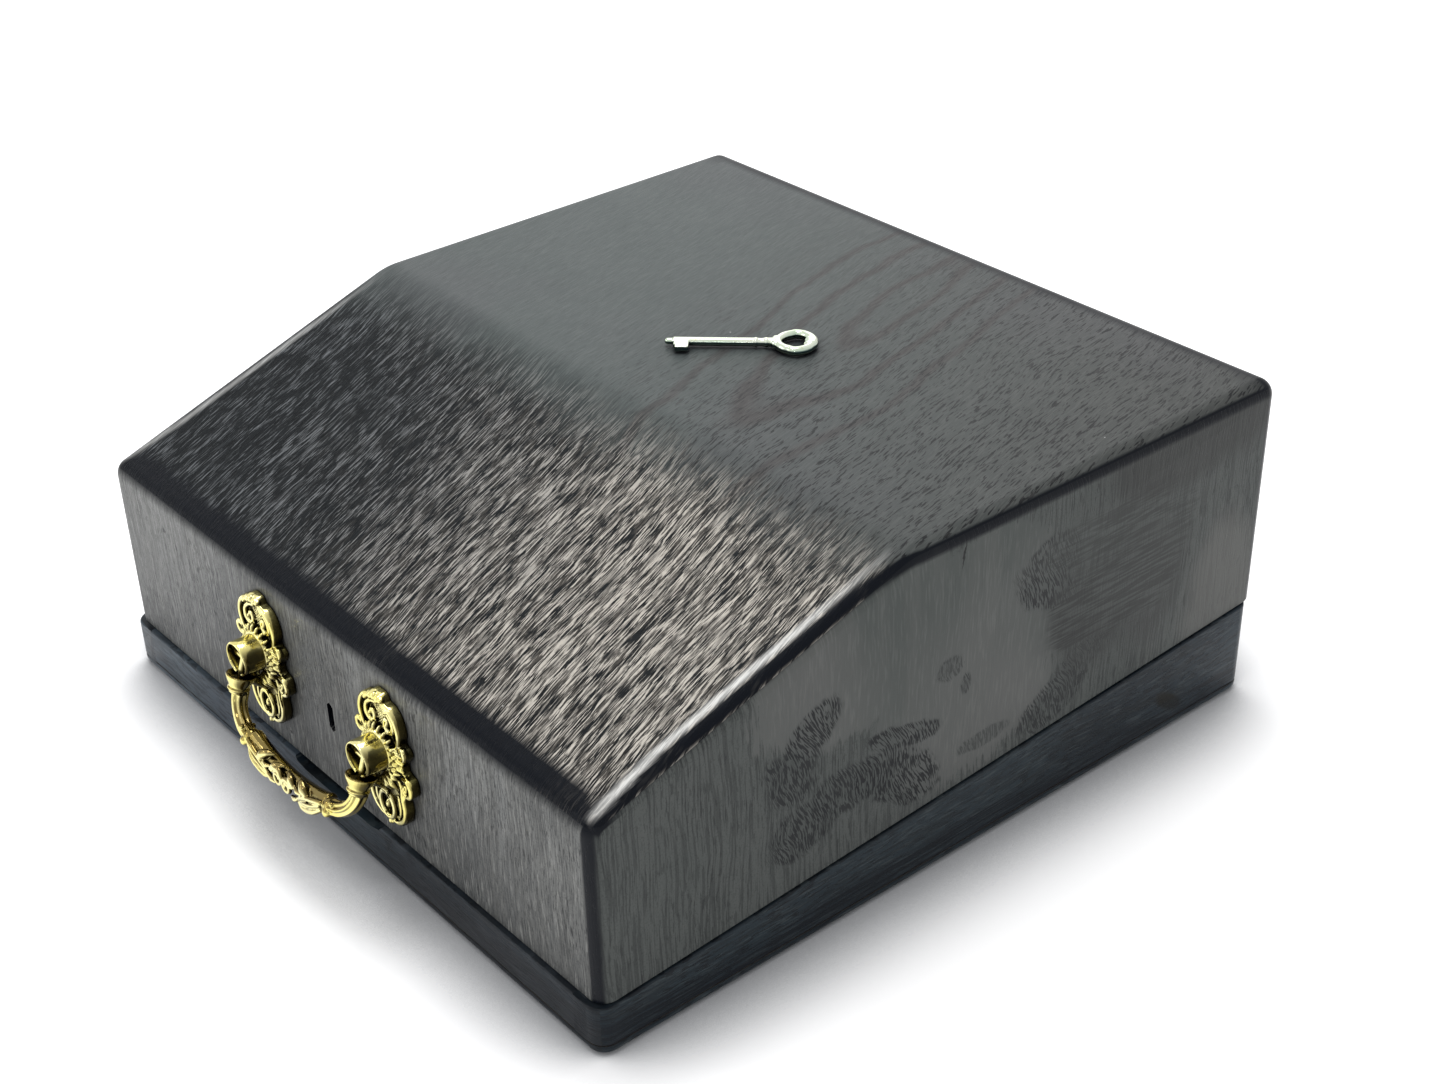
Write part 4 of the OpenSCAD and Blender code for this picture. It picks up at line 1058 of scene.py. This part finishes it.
def buildKey():
    top = atan((hoodSize["rear"] - hoodSize["fold"]) / hoodSize["topDepth"])
    x, y = keySize["at"]
    height = hoodSize["fold"] + (y - foldY) * tan(top)
    turned = (Matrix.Translation((x, y, height)) @ Matrix.Rotation(top, 4, "X")
              @ Matrix.Rotation(radians(keySize["turn"]), 4, "Z")
              @ Matrix.Translation((0, 0, keySize["lift"] + keySize["clear"])))

    def place(a, b, c):  # along the key, to its left, up
        return turned @ Vector((a, b, c))
    stem, tip, bow, rodRadius = keySize["stem"], keySize["tip"], keySize["bow"], keySize["rod"]
    bowEnd = keySize["length"] - 2 * (bow + rodRadius)
    bm = bmesh.new()
    lathe(bm, [(0.02, 0.0), (0.6, 0.12), (1.0, 0.5), (1.15, 1.1), (1.15, tip - 0.5), (stem, tip),
               (stem, bowEnd - 6.4), (1.72, bowEnd - 6.2), (1.75, bowEnd - 5.6), (1.5, bowEnd - 5.3),
               (1.42, bowEnd - 4.0), (1.55, bowEnd - 3.0), (1.75, bowEnd - 2.6), (1.75, bowEnd - 1.9),
               (1.6, bowEnd - 1.5), (1.7, bowEnd + 0.6), (0.02, bowEnd + 0.8)],
          lambda across, up, along: place(along, across, up), 32)
    thick = keySize["bitThick"] / 2
    bitEnd, low = tip + keySize["bitLength"], -keySize["bitReach"]
    flag = [(tip + 0.1, -1.0), (tip + 0.1, -4.0), (tip + 0.7, -4.2), (tip + 0.7, low + 0.3), (tip + 1.0, low),
            (bitEnd - 0.4, low), (bitEnd, low + 0.4), (bitEnd, -1.0)]
    rows = []
    for c, ease in ((-thick, 0.15), (-thick + 0.2, 0), (thick - 0.2, 0), (thick, 0.15)):
        rows.append(vertexRow(bm, [place(a + (ease if a < tip + 2 else -ease), b + ease, c) for a, b in flag]))
    skin(bm, rows)
    middle = bowEnd + bow + rodRadius
    ring, radii, last = [], [], keySize["bowSteps"]
    for k in range(last + 1):  # the bow is a rod bent round, its end tucked in beside its start
        turn = radians(keySize["bowFrom"] + keySize["bowSweep"] * k / last)
        tuck = max(0.0, (k - keySize["tuckAt"]) / (last - keySize["tuckAt"]))
        reach = bow - 0.1 - keySize["tuck"] * tuck * tuck
        lens = 1 + 0.1 * abs(sin(turn)) * (1 if cos(turn) > -0.3 else 0.2)
        ring.append((middle + reach * cos(turn), reach * sin(turn) * lens, 0))
        swell = 1.0 - 0.1 * tuck + 0.14 * max(0.0, cos(turn)) ** 3
        radii.append(rodRadius * (0.86 if k in (0, last) else swell))
    rod(bm, ring, radii, place, 16, 3)
    for s in (-1, 1):
        dome(bm, (bowEnd + 1.0, s * 2.2, 0), (1.7, 1.2, 1.6), place, s * 0.5)
    dome(bm, (middle + bow - 1.0, 0.9, 0), (2.2, 2.7, 1.95), place, 0.4)
    dome(bm, (middle + bow - 1.9, -2.1, 0), (1.7, 1.5, 1.7), place, -0.3)
    castTogether("key", bm, keySize, keyNickel, "key", "key_nickel", "key")


buildKey()

print("screws")


screwSize = {"headFrom": 8.9, "slotLong": 2.6, "slotWide": 0.28}  # half lengths; headFrom is from the point


def slottedScrews(name, material, body, slotName):  # the node's own screws, with a slot across each head
    source = bmesh.new()
    source.from_mesh(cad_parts[name].data)
    bmesh.ops.remove_doubles(source, verts=source.verts, dist=0.002 * mm)
    found, heads = set(), []
    for first in source.verts:
        if first in found:
            continue
        group, queue = [], [first]
        found.add(first)
        while queue:
            vert = queue.pop()
            group.append(vert)
            others = [e.other_vert(vert) for e in vert.link_edges]
            others = [other for other in others if other not in found]
            found.update(others)
            queue += others
        point = max(group, key=lambda v: sum((v.co - w.co).length for w in group)).co.copy()
        rim = [v.co for v in group if (v.co - point).length > screwSize["headFrom"] * mm]
        middle = sum(rim, Vector()) / len(rim)
        heads.append((middle, (middle - point).normalized()))
    piece = objectFrom(source, name + "Slotted")
    piece.data.materials.clear()
    piece.data.materials.append(material)
    bm = bmesh.new()
    long, wide = screwSize["slotLong"], screwSize["slotWide"]
    for k, (middle, way) in enumerate(heads):
        side = Matrix.Rotation(0.5 + 1.1 * k, 3, way) @ way.orthogonal().normalized()
        other = way.cross(side)
        skin(bm, [[bm.verts.new(middle + (side * a * long + other * b * wide + way * c) * mm)
                   for a, b in ((-1, -1), (1, -1), (1, 1), (-1, 1))] for c in (-0.55, 0.6)])
    cutAway(piece, bm)
    dress(piece, body, slotName, name)


for name, material, body, slotName in (
        ("hinge_base_screws", hingeBrass, "base", "hinge_brass"),
        ("hinge_hood_screws", hingeBrass, "hood", "hinge_brass"),
        ("link_plate_screws", plainBrass, "base", "lock_brass"),
        ("lock_cap_screws", caseSteel, "hood", "lock_steel")):
    slottedScrews(name, material, body, slotName)

print("fittings that keep their own shape")
plainNodes = {
    handleBrass: ["bail_pins"],
    hingeBrass: ["hinge_base_leaf_left", "hinge_base_leaf_right", "hinge_hood_leaf_left", "hinge_hood_leaf_right",
                 "hinge_pin_left", "hinge_pin_right"],
    plainBrass: ["link_plate", "lock_bolt"],
    caseSteel: ["handle_washers", "handle_nuts", "lock_case", "lock_cap", "lock_spring"]}
for material, names in plainNodes.items():
    for name in names:
        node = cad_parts[name]
        node.data.materials.clear()
        node.data.materials.append(material)

print("floor, world and lamps")
stageLook = {"floor": (0.86, 0.86, 0.87), "contact": (0.44, 0.45, 0.47), "reach": 0.05, "lift": 0.5, "liftFar": 0.14,
             "near": 0.17, "far": 0.29, "size": 5.0, "ambient": 0.64}
bm = bmesh.new()
bmesh.ops.create_grid(bm, x_segments=2, y_segments=2, size=stageLook["size"])
floor = objectFrom(bm, "floor")


def seenDirectly(tree):
    path = addNode(tree, "LightPath").outputs
    seen, glossy, through = (Signal(path["Is " + kind + " Ray"]) for kind in ("Camera", "Glossy", "Transmission"))
    return calc("MAXIMUM", calc("MAXIMUM", seen, glossy), through)


# The floor glows for rays seen directly, so it shows white; near the box and in its hollow it glows less and its
# colour turns grey, a painted contact shadow.
material, tree, shader = newMaterial("paleFloor")
away = made(tree, "VectorMath", {0: made(tree, "TexCoord", output="Object")}, "Value", operation="LENGTH")
hollow = hollowness(tree, stageLook["reach"], 10)
unshaded = made(tree, "MapRange", {"Value": hollow, "From Min": 0.5, "From Max": 1.0})
farOff = fade(away, stageLook["near"], stageLook["far"])
for key, value in {
        "Roughness": 0.9, "Specular IOR Level": 0.1, "Emission Strength": seenDirectly(tree),
        "Base Color": blendColour(tree, unshaded, stageLook["contact"], stageLook["floor"]),
        "Emission Color": fade(hollow, 0.5, 0.9) * stageLook["lift"] + farOff * stageLook["liftFar"]}.items():
    setInput(shader.inputs[key], value)
floor.data.materials.append(material)

world = bpy.data.worlds.new("studio")
bpy.context.scene.world = world
world.use_nodes = True
tree = world.node_tree
tree.nodes.clear()
strength = level(seenDirectly(tree), stageLook["ambient"], 1.0)
shown = made(tree, "Background", {"Color": (1, 1, 1, 1), "Strength": strength})
addNode(tree, "OutputWorld", {"Surface": shown})

lampSet = {  # place, aim and size in metres
    "rearLeftSoftbox": {"place": (-1.02, 0.99, 0.85), "aim": (0, 0, 0.1), "size": 1.15, "watts": 3.5},
    "overheadSoftbox": {"place": (-0.3, 0.14, 1.35), "aim": (0, 0, 0.1), "size": 0.5, "watts": 5.5},
    "frontFill": {"place": (-0.9, -1.5, 0.8), "aim": (0, 0, 0.05), "size": 1.0, "watts": 4},
    "glintLeft": {"place": (-0.75, -0.8, 0.75), "aim": (0, -0.1, 0.08), "size": 0.09, "watts": 0.5},
    "glintAbove": {"place": (0.1, -0.55, 1.1), "aim": (0, -0.1, 0.08), "size": 0.09, "watts": 0.6},
    "glintRight": {"place": (0.9, -0.9, 0.5), "aim": (0, -0.1, 0.08), "size": 0.08, "watts": 0.35},
}
for name, lamp in lampSet.items():
    light = bpy.data.lights.new(name, "AREA")
    light.size, light.energy = lamp["size"], lamp["watts"]
    holder = linked(name, light)
    holder.location = lamp["place"]
    holder.rotation_euler = (Vector(lamp["aim"]) - Vector(lamp["place"])).to_track_quat("-Z", "Y").to_euler()

print("camera")
cameraSet = {"place": (0.55283, -0.43478, 0.48611), "turn": (0.98386, 0.05753, 0.91876), "lens": 56.3145,
             "shift": (0.10069, 0.06172)}
camera = bpy.data.cameras.new("camera")
camera.lens, camera.sensor_width = cameraSet["lens"], 36.0
camera.shift_x, camera.shift_y = cameraSet["shift"]
camera.clip_start, camera.clip_end = 0.01, 50.0
cameraHolder = linked("camera", camera)
cameraHolder.location, cameraHolder.rotation_euler = cameraSet["place"], cameraSet["turn"]
bpy.context.scene.camera = cameraHolder
bpy.context.scene.view_settings.view_transform = "Standard"
